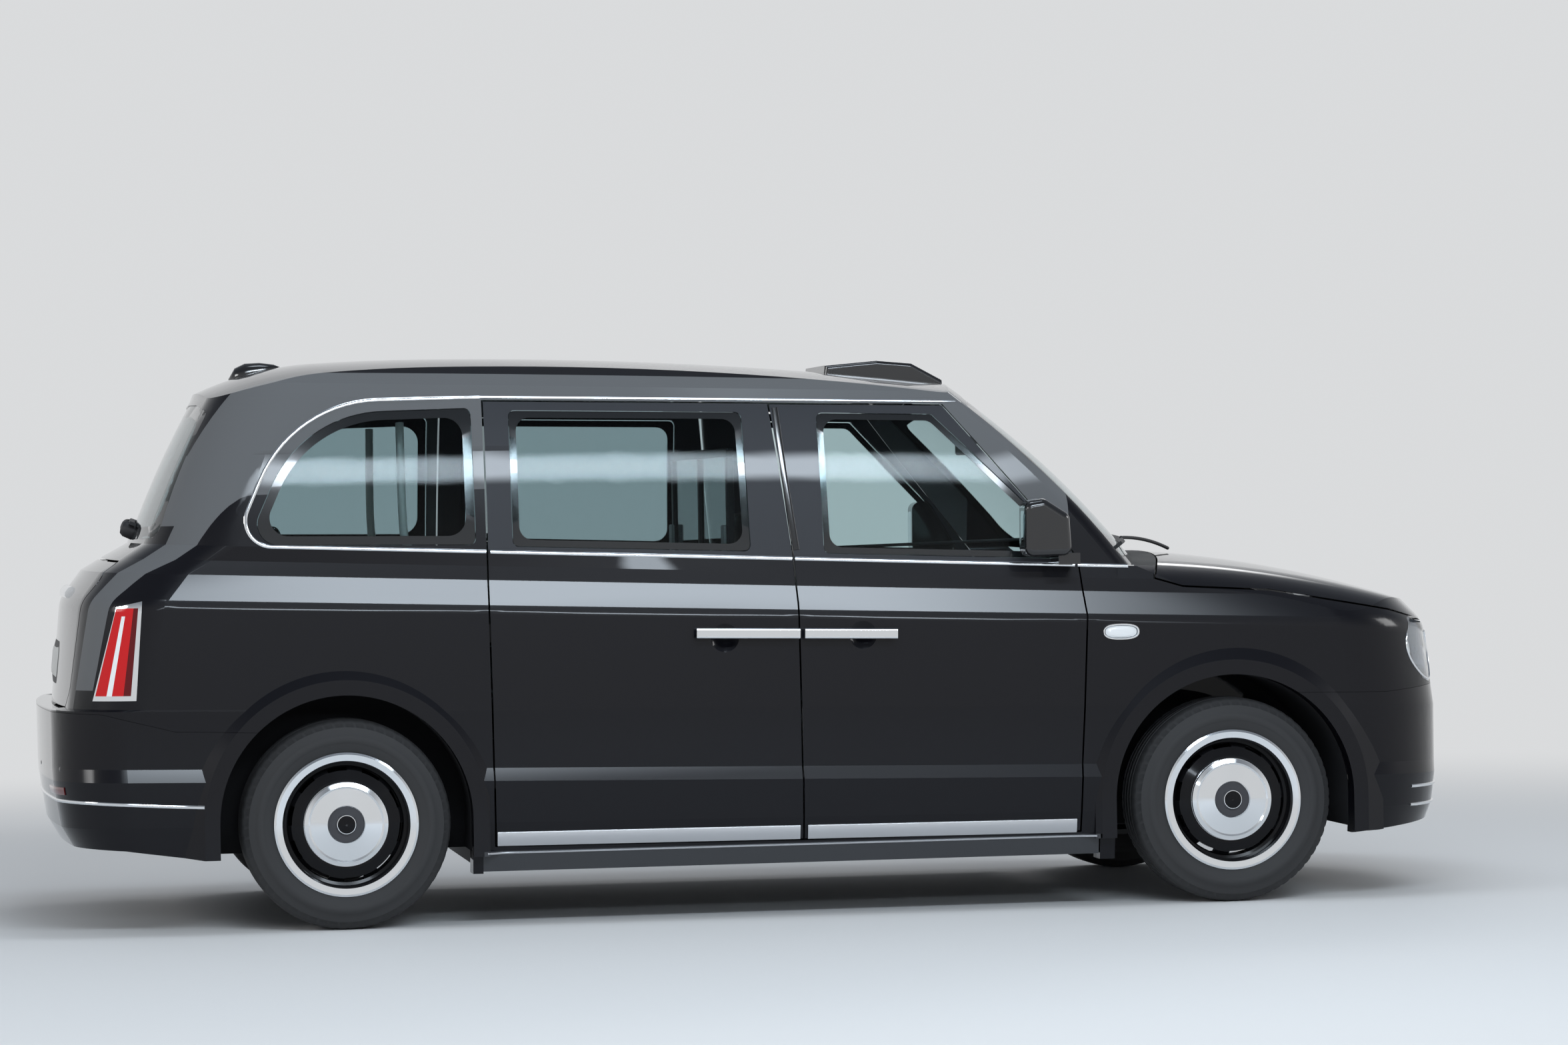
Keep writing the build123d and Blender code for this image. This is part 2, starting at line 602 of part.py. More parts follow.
def make_shell(form, core):
    """roof, body sides, tail panel and floor from the outer form less its inside"""
    shell = form - core - bay_form()
    shell -= block(-2230, FIREWALL_X, 0, SILL_IN_Y, 0, 700)
    for axle_x, inner in ((AXLE_FRONT, FRONT_HOUSING_Y), (AXLE_REAR, REAR_HOUSING_Y)):
        wall = arch_void(axle_x, inner - HOUSING_WALL, HOUSING_WALL)
        wall &= layers("skirt", "lip", "bumper", "shoulder", inset=40)
        wall &= block(axle_x - 600, axle_x + 600, 0, FAR, FLOOR_UNDER_Z, 1000)
        wall -= block(axle_x - 170, axle_x + 170, 0, inner + 60, 0, TYRE_R + ARM_RISE + 60)
        shell += wall
    sill = block(-1020, FIREWALL_X, SILL_IN_Y, SILL_Y, BOARD_TOP_Z, FLOOR_Z)
    shell += sill
    shell = opened(shell)
    for outline, x0, x1 in HINGE_PADS:
        for z in HINGE_LEVELS:
            pad = block(x0, x1, *HINGE_PAD_Y, z - HINGE_PAD_HALF, z + HINGE_PAD_HALF)
            shell += pad - side_prism(outline, SIDE_IN, FAR, grow=SEAT_GAP - SHUT_GAP / 2)
    pad = block(*BONNET_PAD) & bonnet_form(LID_WALL + SEAT_GAP)
    shell += pad & layers("shoulder", "crease", "seam", inset=LID_WALL + SEAT_GAP)
    shell -= block(-1001, 1075, 0, FAR, 0, BOARD_TOP_Z)
    roof_zone = block(-2100, 1100, 0, ROOF_SEAM_Y, 1560, 2000)
    tail_zone = block(-2600, -1900, 0, TAIL_SEAM_Y, 100, 1330)
    front_zone = block(1060, 1600, 0, TAIL_SEAM_Y, 960, 1400)
    save("roof", whole(shell & roof_zone))
    save("tail_panel", whole(shell & tail_zone))
    scuttle = whole(shell & front_zone)
    side = shell - roof_zone - tail_zone - front_zone
    save_pair("body_side", side)
    return scuttle


def make_floor(scuttle):
    """floor pan with its steps, the bulkhead ahead of the cabin and the scuttle"""
    profile = [
        (FIREWALL_X, FLOOR_UNDER_Z), (FIREWALL_X, 1172), (FIREWALL_X - FIREWALL, 1172),
        (FIREWALL_X - FIREWALL, FLOOR_Z), (-900, FLOOR_Z), (-900, BOOT_FLOOR_Z),
        (-2230, BOOT_FLOOR_Z), (-2230, BOOT_FLOOR_Z - FLOOR_SHEET),
        (-900 - FLOOR_SHEET, BOOT_FLOOR_Z - FLOOR_SHEET), (-900 - FLOOR_SHEET, FLOOR_UNDER_Z),
    ]
    pan = side_prism(profile, 0, SILL_IN_Y)
    pan -= block(-2300, -940, REAR_HOUSING_Y - HOUSING_WALL, FAR, 0, 1000)
    pan -= arch_void(AXLE_FRONT, FRONT_HOUSING_Y - HOUSING_WALL, HOUSING_WALL)
    save("floor_pan", whole(pan) + scuttle)


def make_nose(form):
    skin = form & block(1200, 2600, 0, FAR, 120, 1300)
    shut = bonnet_zone(SHUT_GAP / 2)
    lid = skin & bonnet_zone(-SHUT_GAP / 2)
    core = layers("skirt", "bumper", "shoulder", "crease", "seam", "nose_top", inset=LID_WALL)
    lid -= core & bonnet_form(LID_WALL)
    save("bonnet", whole(lid))
    lower = layers("skirt", "bumper", "shoulder", inset=WING_WALL)
    opening = end_prism(GRILLE, 2200, 2500, grow=-LAMP_GAP)
    frame = (skin & opening) - shut - lower
    back = layers("skirt", "bumper", "shoulder", inset=GRILLE_DEPTH)
    behind = layers("skirt", "bumper", "shoulder", inset=6)
    slots = (frame & end_prism(GRILLE, 2200, 2500, grow=-GRILLE_FRAME)) - back
    bars = slots & behind
    cut = slots
    for count in range(GRILLE_BARS):
        middle = GRILLE_PITCH * (count + 0.5)
        cut -= bars & block(2000, 2600, middle - 5, middle + 5, 0, 1200)
    save("grille", whole(frame - cut))
    lamp = (skin & end_prism(HEADLAMP, 1950, 2500, middle=False)) - shut
    inner = layers("skirt", "bumper", "shoulder", "crease", inset=LENS)
    lens = (lamp - inner).solids().sort_by(SortBy.VOLUME)[-1]
    save("headlamp_lenses", Compound(children=[lens, mirrored(lens)]))
    bowl = (lamp & layers("skirt", "bumper", "shoulder", "crease", inset=LENS + SEAT_GAP))
    bowl -= layers("skirt", "bumper", "shoulder", inset=LAMP_DEPTH)
    hollow = end_prism(HEADLAMP, 1950, 2500, grow=-BOWL_RIM, middle=False)
    bowl -= hollow - layers("skirt", "bumper", "shoulder", inset=BOWL_DEPTH)
    for lamp_y, lamp_z, radius in PROJECTORS:
        rear, front = PROJECTOR_X
        unit = Rot(0, 90, 0) * Cylinder(radius, front - rear)
        unit = Pos((rear + front) / 2, lamp_y, lamp_z) * unit
        unit &= layers("skirt", "bumper", "shoulder", "crease", inset=PROJECTOR_IN)
        unit -= layers("skirt", "bumper", "shoulder", inset=(BOWL_DEPTH + LAMP_DEPTH) / 2)
        bowl += unit
    save("headlamps", Compound(children=[bowl, mirrored(bowl)]))
    bumper = form & side_prism(FRONT_BUMPER, 0, FAR)
    bumper -= layers("under", "lip", "bumper", "shoulder", inset=BUMPER_WALL)
    bumper -= arch_void(AXLE_FRONT, FRONT_HOUSING_Y)
    bumper -= end_prism(HEADLAMP, 1950, 2500, grow=LAMP_GAP, middle=False)
    recess = end_prism(INTAKE, 2100, 2500)
    recess -= layers("under", "skirt", "lip", "ledge", "bumper", inset=INTAKE_DEPTH)
    behind = layers("under", "skirt", "lip", "ledge", "bumper", inset=INTAKE_DEPTH / 3)
    for z in INTAKE_BARS:
        recess -= behind & block(2000, 2600, 0, FAR, z - INTAKE_BAR / 2, z + INTAKE_BAR / 2)
    save("front_bumper", whole(bumper - recess))


def make_tail(form):
    skin = form & block(-2600, -1600, 0, FAR, 120, 1300)
    core = layers("lip", "ledge", "waist", "shoulder", "crease", "seam", inset=WING_WALL)
    core += layers("cowl", "belt", inset=WING_WALL)
    lid = skin & end_prism(BOOT_LID, -2500, -2100, grow=-SHUT_GAP / 2, round_r=50)
    lid -= core
    lid -= side_prism(REAR_BUMPER, 0, FAR, grow=SHUT_GAP)
    save("boot_lid", whole(lid))
    lamp = (skin & side_prism(TAIL_LAMP, 620, FAR)) - core
    save("tail_lamps", Compound(children=[lamp, mirrored(lamp)]))
    bumper = form & side_prism(REAR_BUMPER, 0, FAR)
    bumper -= layers("under", "skirt", "lip", "bumper", "waist", inset=BUMPER_WALL)
    bumper -= arch_void(AXLE_REAR, REAR_HOUSING_Y)
    save("rear_bumper", whole(bumper))


def make_end_glass():
    layer = glasshouse(PANE_INSET) - glasshouse(PANE_INSET + PANE)
    screen = layer & end_prism(SCREEN, 560, 1500, grow=-PANE_GAP, round_r=24)
    back = layer & end_prism(BACK_GLASS, -2200, -1700, grow=-PANE_GAP, round_r=40)
    save("windscreen", whole(screen))
    save("rear_glass", whole(back))


def make_underbody(form):
    """battery tray between the axles, with the running boards at its sides"""
    boards = form & block(-1001, 1070, 0, FAR, UNDERSIDE_Z, BOARD_TOP_Z)
    tray = block(-960, 1060, 0, SILL_IN_Y - 6, BOARD_TOP_Z - 20, FLOOR_UNDER_Z)
    save("underbody", whole(boards + tray))


def ring(points):
    """a turned piece about a line across the vehicle, from radius and distance outwards"""
    return revolve(make_face(Polyline(*points, close=True)), Axis.Y)


def slotted(rim):
    """narrow curved cooling slots through the dish of a rim"""
    inner, outer = SLOT_RADII
    profile = Polyline((inner, 0), (outer, 0), (outer, 90), (inner, 90), close=True)
    slot = revolve(make_face(profile), Axis.Y, SLOT_ANGLE)
    for count in range(SLOT_COUNT):
        rim -= Rot(0, 360 / SLOT_COUNT * count, 0) * slot
    return rim


def make_wheels():
    for axle, x in (("front", AXLE_FRONT), ("rear", AXLE_REAR)):
        place = Pos(x, WHEEL_Y, TYRE_R)
        save_pair(axle + "_tyre", place * ring(TYRE_PROFILE))
        save_pair(axle + "_rim", place * slotted(ring(RIM_PROFILE)))


def rod(x, z, r, y0, y1):
    """a round bar across the vehicle"""
    return Pos(x, (y0 + y1) / 2, z) * Rot(90, 0, 0) * Cylinder(r, y1 - y0)


def make_front_gear():
    """knuckles with their kingpins and spindles, and the subframe with its two arms a side"""
    reach = ARM_RISE - KNUCKLE_GAP
    half = KNUCKLE_HALF
    knuckle = block(-half, half, KINGPIN_Y - half, KINGPIN_Y + 2, -reach, reach)
    knuckle += Pos(0, KINGPIN_Y, 0) * Cylinder(KNUCKLE_BOSS_R, 2 * reach)
    knuckle += Pos(0, KINGPIN_Y, 0) * Cylinder(KINGPIN_R, 2 * (ARM_RISE + ARM_THICK))
    knuckle = Pos(AXLE_FRONT, 0, TYRE_R) * knuckle
    knuckle += rod(AXLE_FRONT, TYRE_R, SPINDLE_R, KINGPIN_Y, SPINDLE_END_Y)
    save_pair("knuckle", knuckle)
    plan = list(ARM_PLAN) + [(-x, y) for x, y in reversed(ARM_PLAN)]
    arm = extrude(make_face(Polyline(*plan, close=True)), ARM_THICK)
    bore = Pos(0, KINGPIN_Y, 0) * Cylinder(KINGPIN_R + RUNNING, 4 * ARM_RISE)
    top = ARM_RISE + ARM_THICK
    lower = Pos(0, 0, -top) * arm - bore
    upper = Pos(0, 0, ARM_RISE) * arm - bore - block(-200, 200, 0, UPPER_ARM_IN_Y, 0, 300)
    tower = block(-TOWER_HALF, TOWER_HALF, UPPER_ARM_IN_Y, RAIL_Y, -top, top)
    frame = Pos(AXLE_FRONT, 0, TYRE_R) * (lower + upper + tower)
    low, high = RAIL_Z - RAIL_HALF, RAIL_Z + RAIL_HALF
    frame += block(FIREWALL_X, RAIL_END_X, RAIL_Y - RAIL_WIDE, RAIL_Y, low, high)
    frame += block(RAIL_END_X - RAIL_CROSS, RAIL_END_X, 0, RAIL_Y, low, high)
    save("front_subframe", whole(frame))


def make_rear_gear():
    """rear subframe with its drive unit, and a hub and spindle at each side"""
    gear = rod(AXLE_REAR, TYRE_R, HUB_R, *HUB_Y)
    gear += rod(AXLE_REAR, TYRE_R, SPINDLE_R, HUB_Y[0], SPINDLE_END_Y)
    for length, width, low, high in DRIVE_BLOCKS:
        gear += Pos(AXLE_REAR, 0, TYRE_R) * block(-length, length, 0, width, low, high)
    for x in (AXLE_REAR - POST_X, AXLE_REAR + POST_X):
        top = BOOT_FLOOR_Z - FLOOR_SHEET
        gear += block(x - POST_HALF, x + POST_HALF, *POST_Y, TYRE_R, top)
    save("rear_axle", whole(gear))


def make_steering():
    """dashboard with the steering column, and the steering wheel in front of it"""
    place = Pos(STEERING_PLACE[0], DRIVER_Y, STEERING_PLACE[1]) * Rot(0, STEERING_LEAN, 0)
    column = place * Pos(0, 0, -COLUMN_DROP - SEAT_GAP) * Cylinder(COLUMN_R, COLUMN_LONG)
    save("dashboard", whole(side_prism(DASH_SIDE, 0, SILL_IN_Y)) + column)
    wheel = Torus(STEERING_R, STEERING_RIM) + Pos(0, 0, 6) * Cylinder(WHEEL_HUB_R, 24)
    for turn in (0, 120, 240):
        wheel += Rot(0, 0, turn) * (Pos(SPOKE_R, 0, 0) * Box(*SPOKE))
    save("steering_wheel", place * wheel)


def make_cabin():
    save("driver_seat", Pos(0, DRIVER_Y, 0) * side_prism(SEAT_SIDE, -SEAT_HALF, SEAT_HALF))
    save("rear_bench", whole(side_prism(BENCH_SIDE, 0, BENCH_HALF)))
    low, high = [block(*PARTITION_X, 0, *step) for step in PARTITION_STEPS]
    save("partition", whole(low + high))
    save("engine_block", block(*ENGINE))


def make_roof_sign():
    sign = whole(side_prism(SIGN_SIDE, 0, SIGN_HALF))
    sides = [edge for edge in sign.edges() if abs(edge.center().Y) > SIGN_HALF - 10]
    sign = fillet([edge for edge in sides if edge.center().Z > 1786], SIGN_SOFT)
    save("roof_sign", sign - whole(roof_form(0)))


def make_mirrors(form):
    housing = side_prism(MIRROR_SIDE, *MIRROR_Y, round_r=30)
    housing = fillet(housing.faces().sort_by(Axis.Y)[-1].edges(), 24)
    save_pair("mirror", housing + (block(*MIRROR_ARM) - form))


def main():
    os.makedirs("parts", exist_ok=True)
    form = body_form(0, 0)
    core = core_form()
    scuttle = make_shell(form, core)
    make_floor(scuttle)
    wall = (form & block(-1000, 1060, 400, FAR, 200, 1760)) - core
    make_doors(wall)
    make_nose(form)
    make_tail(form)
    make_end_glass()
    make_underbody(form)
    make_wheels()
    make_front_gear()
    make_rear_gear()
    make_steering()
    make_cabin()
    make_roof_sign()
    make_mirrors(form)


main()
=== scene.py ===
import bmesh
import bpy
from fnmatch import filter as matching
from functools import partial
from math import atan2, ceil, cos, pi, radians, sin, sqrt, tan, tau
from mathutils import Matrix, Quaternion, Vector
from mathutils.bvhtree import BVHTree


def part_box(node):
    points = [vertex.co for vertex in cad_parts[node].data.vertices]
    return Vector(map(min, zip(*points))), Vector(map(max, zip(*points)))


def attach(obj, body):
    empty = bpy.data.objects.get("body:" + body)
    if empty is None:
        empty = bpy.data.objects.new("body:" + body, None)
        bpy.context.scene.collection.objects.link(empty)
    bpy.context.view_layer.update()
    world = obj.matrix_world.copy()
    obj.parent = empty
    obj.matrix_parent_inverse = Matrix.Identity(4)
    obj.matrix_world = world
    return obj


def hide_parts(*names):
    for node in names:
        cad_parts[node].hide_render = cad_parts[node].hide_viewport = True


# Taxi cab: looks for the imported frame. Metres, +X forward, +Y left, +Z up.

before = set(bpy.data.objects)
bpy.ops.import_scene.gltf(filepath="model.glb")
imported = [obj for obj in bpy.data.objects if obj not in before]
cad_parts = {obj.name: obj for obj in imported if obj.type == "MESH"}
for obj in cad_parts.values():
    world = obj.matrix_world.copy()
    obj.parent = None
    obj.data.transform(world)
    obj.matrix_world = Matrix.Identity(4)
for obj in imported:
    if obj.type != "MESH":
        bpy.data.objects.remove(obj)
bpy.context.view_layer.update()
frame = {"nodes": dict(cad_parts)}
NODES = frame["nodes"]

# Places read from the frame
TYRE_LOW, TYRE_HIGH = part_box("front_tyre_left")
REAR_LOW, REAR_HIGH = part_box("rear_tyre_left")
AXLES = (("front", (TYRE_LOW.x + TYRE_HIGH.x) / 2), ("rear", (REAR_LOW.x + REAR_HIGH.x) / 2))
TYRE_R = (TYRE_HIGH.z - TYRE_LOW.z) / 2
WHEEL_Y = (TYRE_LOW.y + TYRE_HIGH.y) / 2
SIDES = (("left", 1), ("right", -1))

# Finishes. Lacquer and glass mirror little, so they stay dark beside the pale stage.

LACQUER_IOR = 1.27
GLASS_IOR = 1.20
LACQUER = {"Coat_Roughness": 0.012, "Coat_IOR": LACQUER_IOR, "Specular_IOR_Level": 0.1}
CLEAR = {"Transmission_Weight": 1.0, "IOR": GLASS_IOR}

# Name, colour, roughness and further values of each finish
FINISHES = {
    "paint": ("black_paint", (0.004, 0.004, 0.006), 0.30, {"coat": 1.0, **LACQUER}),
    "gloss": ("gloss_black_trim", (0.008, 0.008, 0.009), 0.12, {"coat": 0.6}),
    "satin": ("satin_grey_trim", (0.028, 0.030, 0.034), 0.42, {}),
    "chrome": ("bright_metal", (0.80, 0.82, 0.84), 0.07, {"metal": 1.0}),
    "brushed": ("brushed_metal", (0.55, 0.56, 0.58), 0.30, {"metal": 1.0}),
    "steel": ("dark_steel", (0.05, 0.05, 0.055), 0.5, {"metal": 0.6}),
    "plastic": ("black_plastic", (0.018, 0.018, 0.020), 0.55, {}),
    "rubber": ("tyre_rubber", (0.022, 0.022, 0.023), 0.72, {}),
    "liner": ("arch_felt", (0.010, 0.010, 0.011), 0.95, {"Specular_IOR_Level": 0.2}),
    "under": ("underbody_coating", (0.03, 0.03, 0.032), 0.8, {}),
    "glass": ("tinted_glass", (0.66, 0.77, 0.78), 0.0, CLEAR),
    "dark_glass": ("privacy_glass", (0.48, 0.58, 0.60), 0.0, CLEAR),
    "lens": ("clear_lens", (0.95, 0.97, 0.98), 0.02, {"Transmission_Weight": 1.0, "IOR": 1.49}),
    "red_dark": ("dark_red_lens", (0.10, 0.006, 0.008), 0.12, {"coat": 0.8}),
    "white_lens": ("white_lens", (0.75, 0.76, 0.76), 0.15, {"coat": 0.8}),
    "panel": ("dashboard_skin", (0.020, 0.020, 0.022), 0.62, {}),
    "trim": ("cabin_lining", (0.16, 0.165, 0.17), 0.8, {}),
    "leather": ("seat_vinyl", (0.018, 0.018, 0.020), 0.45, {}),
    "grey": ("light_grey_plastic", (0.42, 0.43, 0.43), 0.5, {}),
    "plate": ("bare_plate", (0.55, 0.55, 0.53), 0.4, {}),
    "frit": ("printed_border", (0.006, 0.007, 0.008), 0.12, {"coat": 0.5}),
    "mirror": ("mirror_silver", (0.72, 0.75, 0.78), 0.02, {"metal": 1.0}),
    "pole": ("grab_pole", (0.62, 0.62, 0.58), 0.35, {}),
}
# Scale and strength of the fine bumps
GRAINS = {
    "steel": (90, 0.2), "plastic": (420, 0.3), "rubber": (260, 0.25), "liner": (500, 0.5),
    "panel": (300, 0.4), "trim": (200, 0.3), "leather": (260, 0.4),
}
GRAIN_DEPTH, GRAIN_DETAIL = 0.0004, 3.0
COATING, COATING_SCALE = ((0.022, 0.022, 0.024), (0.045, 0.044, 0.042)), 5.0


def fill(slot, value):
    """sets a socket to a value or colour, or links it to another socket"""
    if isinstance(value, tuple):
        slot.default_value = (*value, 1.0)
    elif isinstance(value, (int, float, str)):
        slot.default_value = value
    else:
        slot.id_data.links.new(getattr(value, "socket", value), slot)


def give(node, **values):
    """fills a node's sockets by name"""
    for name, value in values.items():
        fill(node.inputs[name.replace("_", " ")], value)
    return node


def add(tree, kind, **values):
    return give(tree.nodes.new("ShaderNode" + kind), **values)


def operator(operation, swapped=False):
    def method(self, *others):
        node = add(self.socket.id_data, "Math")
        node.operation = operation
        for slot, value in zip(node.inputs, (*others, self) if swapped else (self, *others)):
            fill(slot, value)
        return Term(node.outputs[0])
    return method


class Term:
    """a shader value that adds, multiplies and compares as a number does"""
    def __init__(self, socket):
        self.socket = socket

    __add__, __sub__, __mul__ = operator("ADD"), operator("SUBTRACT"), operator("MULTIPLY")
    __truediv__, __rsub__ = operator("DIVIDE"), operator("SUBTRACT", swapped=True)
    __gt__, __lt__ = operator("GREATER_THAN"), operator("LESS_THAN")
    __abs__, root, larger = operator("ABSOLUTE"), operator("SQRT"), operator("MAXIMUM")


def terms(tree, kind="Object"):
    """x, y and z of a surface's place in the frame, or of another kind of coordinate"""
    split = add(tree, "SeparateXYZ", Vector=add(tree, "TexCoord").outputs[kind])
    return [Term(socket) for socket in split.outputs]


def within(value, low, high):
    return (value > low) * (value < high)


def eased(value, low, high):
    """0 to 1 with a soft start and end, as a value goes from low to high"""
    ramp = add(value.socket.id_data, "MapRange", From_Min=low, From_Max=high, Value=value)
    ramp.interpolation_type = "SMOOTHSTEP"
    return Term(ramp.outputs["Result"])


def blend(factor, lower, upper, colour=True):
    """one colour or number laid over another by a factor"""
    mix = add(factor.socket.id_data, "Mix")
    mix.data_type = "RGBA" if colour else "FLOAT"
    first = 6 if colour else 2
    for index, value in ((0, factor), (first, lower), (first + 1, upper)):
        fill(mix.inputs[index], value)
    return mix.outputs[2 if colour else 0]


def blend_shaders(factor, lower, upper):
    mix = add(factor.socket.id_data, "MixShader", Fac=factor)
    fill(mix.inputs[1], lower.outputs[0])
    fill(mix.inputs[2], upper.outputs[0])
    return mix.outputs[0]


def make_material(name, colour, rough, metal=0.0, coat=0.0, **more):
    """a principled material; more sets further sockets by name"""
    material = bpy.data.materials.new(name)
    material.use_nodes = True
    give(material.node_tree.nodes["Principled BSDF"], Base_Color=colour, Roughness=rough,
         Metallic=metal, Coat_Weight=coat, **more)
    return material


def add_noise(material, **values):
    """noise over the surface, as a tree, its shader and the noise"""
    tree = material.node_tree
    noise = add(tree, "TexNoise", Vector=add(tree, "TexCoord").outputs["Object"], **values)
    return tree, tree.nodes["Principled BSDF"], noise.outputs["Fac"]


def add_grain(material, scale, strength):
    """fine bumps for a moulded or woven surface"""
    tree, shader, noise = add_noise(material, Scale=scale, Detail=GRAIN_DETAIL)
    bump = add(tree, "Bump", Strength=strength, Distance=GRAIN_DEPTH, Height=noise)
    give(shader, Normal=bump.outputs["Normal"])


def add_tint(material, colours, scale):
    """slow change between two colours over the surface"""
    tree, shader, noise = add_noise(material, Scale=scale)
    ramp = add(tree, "ValToRGB", Fac=noise)
    for stop, place, colour in zip(ramp.color_ramp.elements, (0.35, 0.65), colours):
        stop.position = place
        stop.color = (*colour, 1.0)
    give(shader, Base_Color=ramp.outputs["Color"])


def make_materials():
    made = {}
    for key, (name, colour, rough, more) in FINISHES.items():
        made[key] = make_material(name, colour, rough, **more)
    for key, grain in GRAINS.items():
        add_grain(made[key], *grain)
    add_tint(made["under"], COATING, COATING_SCALE)
    return made


def masked(name, base, zones, coat=0.0):
    """a material of several finishes: base, then zones of (mask, finish) laid over it;
    a finish is colour, roughness and metal, and a mask is made from x, y and z"""
    material = make_material(name, *base, coat=coat, **LACQUER)
    place = terms(material.node_tree)
    values = list(base)
    for mask, finish in zones:
        factor = mask(*place)
        values = [blend(factor, lower, upper, colour=index == 0)
                  for index, (lower, upper) in enumerate(zip(values, finish))]
    give(material.node_tree.nodes["Principled BSDF"], Base_Color=values[0], Roughness=values[1],
         Metallic=values[2])
    return material


MATERIALS = make_materials()

# Colour, roughness and metal of the finishes that share a panel
PAINT = ((0.004, 0.004, 0.006), 0.30, 0.0)
SATIN = ((0.030, 0.032, 0.037), 0.42, 0.0)
CHROME = ((0.80, 0.82, 0.84), 0.07, 1.0)
GLOSS = ((0.007, 0.007, 0.008), 0.10, 0.0)
DARK = ((0.012, 0.012, 0.013), 0.85, 0.0)
GREY = ((0.06, 0.06, 0.065), 0.45, 0.3)
LINING = ((0.115, 0.118, 0.122), 0.80, 0.0)
ROOF_LINING = ((0.42, 0.42, 0.41), 0.90, 0.0)
RED = ((0.55, 0.012, 0.014), 0.10, 0.0)
DARK_RED = ((0.11, 0.006, 0.008), 0.12, 0.0)
WHITE = ((0.80, 0.80, 0.79), 0.14, 0.0)
BOWL = ((0.30, 0.31, 0.33), 0.22, 1.0)
GLASSY = ((0.55, 0.60, 0.66), 0.04, 1.0)

# Where they change
BELT_Z, BELT_FALL, BELT_HALF = 1.188, 0.041, 0.006
HANDLE_FROM_Y = 0.9435
ARCH_INSIDE_Y = 0.845
LINING_Y, LINING_LOW_Z, LINING_HIGH_Z = 0.838, 0.36, 1.16
WAIST_Z = 0.80
QUARTER_FRONT_X = 1.0
FACING_DOWN = -0.2
NOSE_X, NOSE_BOW = 2.4265, 3.65
GRILLE_EDGE = 0.030
INTAKE_HALF, INTAKE_LOW_Z, INTAKE_HIGH_Z, INTAKE_FROM_X = 0.552, 0.338, 0.440, 2.2
LAMP_TOP_Z, LAMP_FRONT_X, LAMP_LEAN = 1.088, -2.096, 0.0776
LAMP_WIDTH, LAMP_SPREAD = 0.083, 0.190
LAMP_LOW_Z, LAMP_HIGH_Z = 0.782, 1.066
WHITE_BAND, WHITE_TOP_Z = (0.56, 0.68), 1.04
DARK_BAND, FRONT_BAND, REAR_BAND = (0.13, 0.30), (-1.0, 0.13), (0.93, 3.0)
# Each lamp's two projectors: distance from the middle, height, radius of bezel and of glass
PROJECTORS = ((0.640, 0.845, 0.045, 0.037), (0.728, 0.838, 0.039, 0.031))
# A wheel's rings: inner and outer radius, least distance out of its middle plane, finish
WHEEL_RINGS = (
    (0.2035, 0.30, 0.078, CHROME), (0.0, 0.1385, 0.073, CHROME), (0.0, 0.0585, 0.073, GREY),
    (0.0, 0.0345, 0.080, CHROME), (0.0, 0.0290, 0.080, GLOSS),
)


def above_belt(x, y, z):
    return z + x * BELT_FALL > BELT_Z + BELT_HALF


def on_handle(x, y, z):
    return abs(y) > HANDLE_FROM_Y


def inside_arch(x, y, z):
    """inner faces of the wheel housings, below the waist and inboard of the wings"""
    return (abs(y) < ARCH_INSIDE_Y) * (z < WAIST_Z)


def cabin_side(x, y, z):
    """what faces into the cabin between floor and belt"""
    return (abs(y) < LINING_Y) * within(z, LINING_LOW_Z, LINING_HIGH_Z)


def quarter_side(x, y, z):
    return (abs(y) < LINING_Y) * (z > WAIST_Z) * (x < QUARTER_FRONT_X)


def facing_down(x, y, z):
    """the lining under the roof"""
    return terms(z.socket.id_data, "Normal")[2] < FACING_DOWN


def radius_of(a, b):
    return (a * a + b * b).root()


def wheel_zone(axle_x, inner, outer, out):
    return lambda x, y, z: (within(radius_of(x - axle_x, z - TYRE_R), inner, outer)
                            * (abs(y) > WHEEL_Y + out))


def grille_front(x, y, z):
    """front edges of the grille, on the bow of the nose"""
    return x + y * y / NOSE_BOW > NOSE_X - GRILLE_EDGE


def in_intake(x, y, z):
    return ((abs(y) < INTAKE_HALF) * within(z, INTAKE_LOW_Z, INTAKE_HIGH_Z)
            * (x > INTAKE_FROM_X))


def lamp_band(low, high):
    """a band of the tail lamp from its front edge, 0, to its rear edge, 1"""
    def mask(x, y, z):
        drop = LAMP_TOP_Z - z
        front = LAMP_FRONT_X - drop * LAMP_LEAN
        return within((front - x) / (drop * LAMP_SPREAD + LAMP_WIDTH), low, high)
    return mask


def lamp_ends(x, y, z):
    return (z > LAMP_HIGH_Z).larger(z < LAMP_LOW_Z)


def white_rows(x, y, z):
    return lamp_band(*WHITE_BAND)(x, y, z) * (z < WHITE_TOP_Z)


def disc(y0, z0, radius):
    """a round patch on each lamp bowl, seen from the front"""
    return lambda x, y, z: radius_of(abs(y) - y0, z - z0) < radius


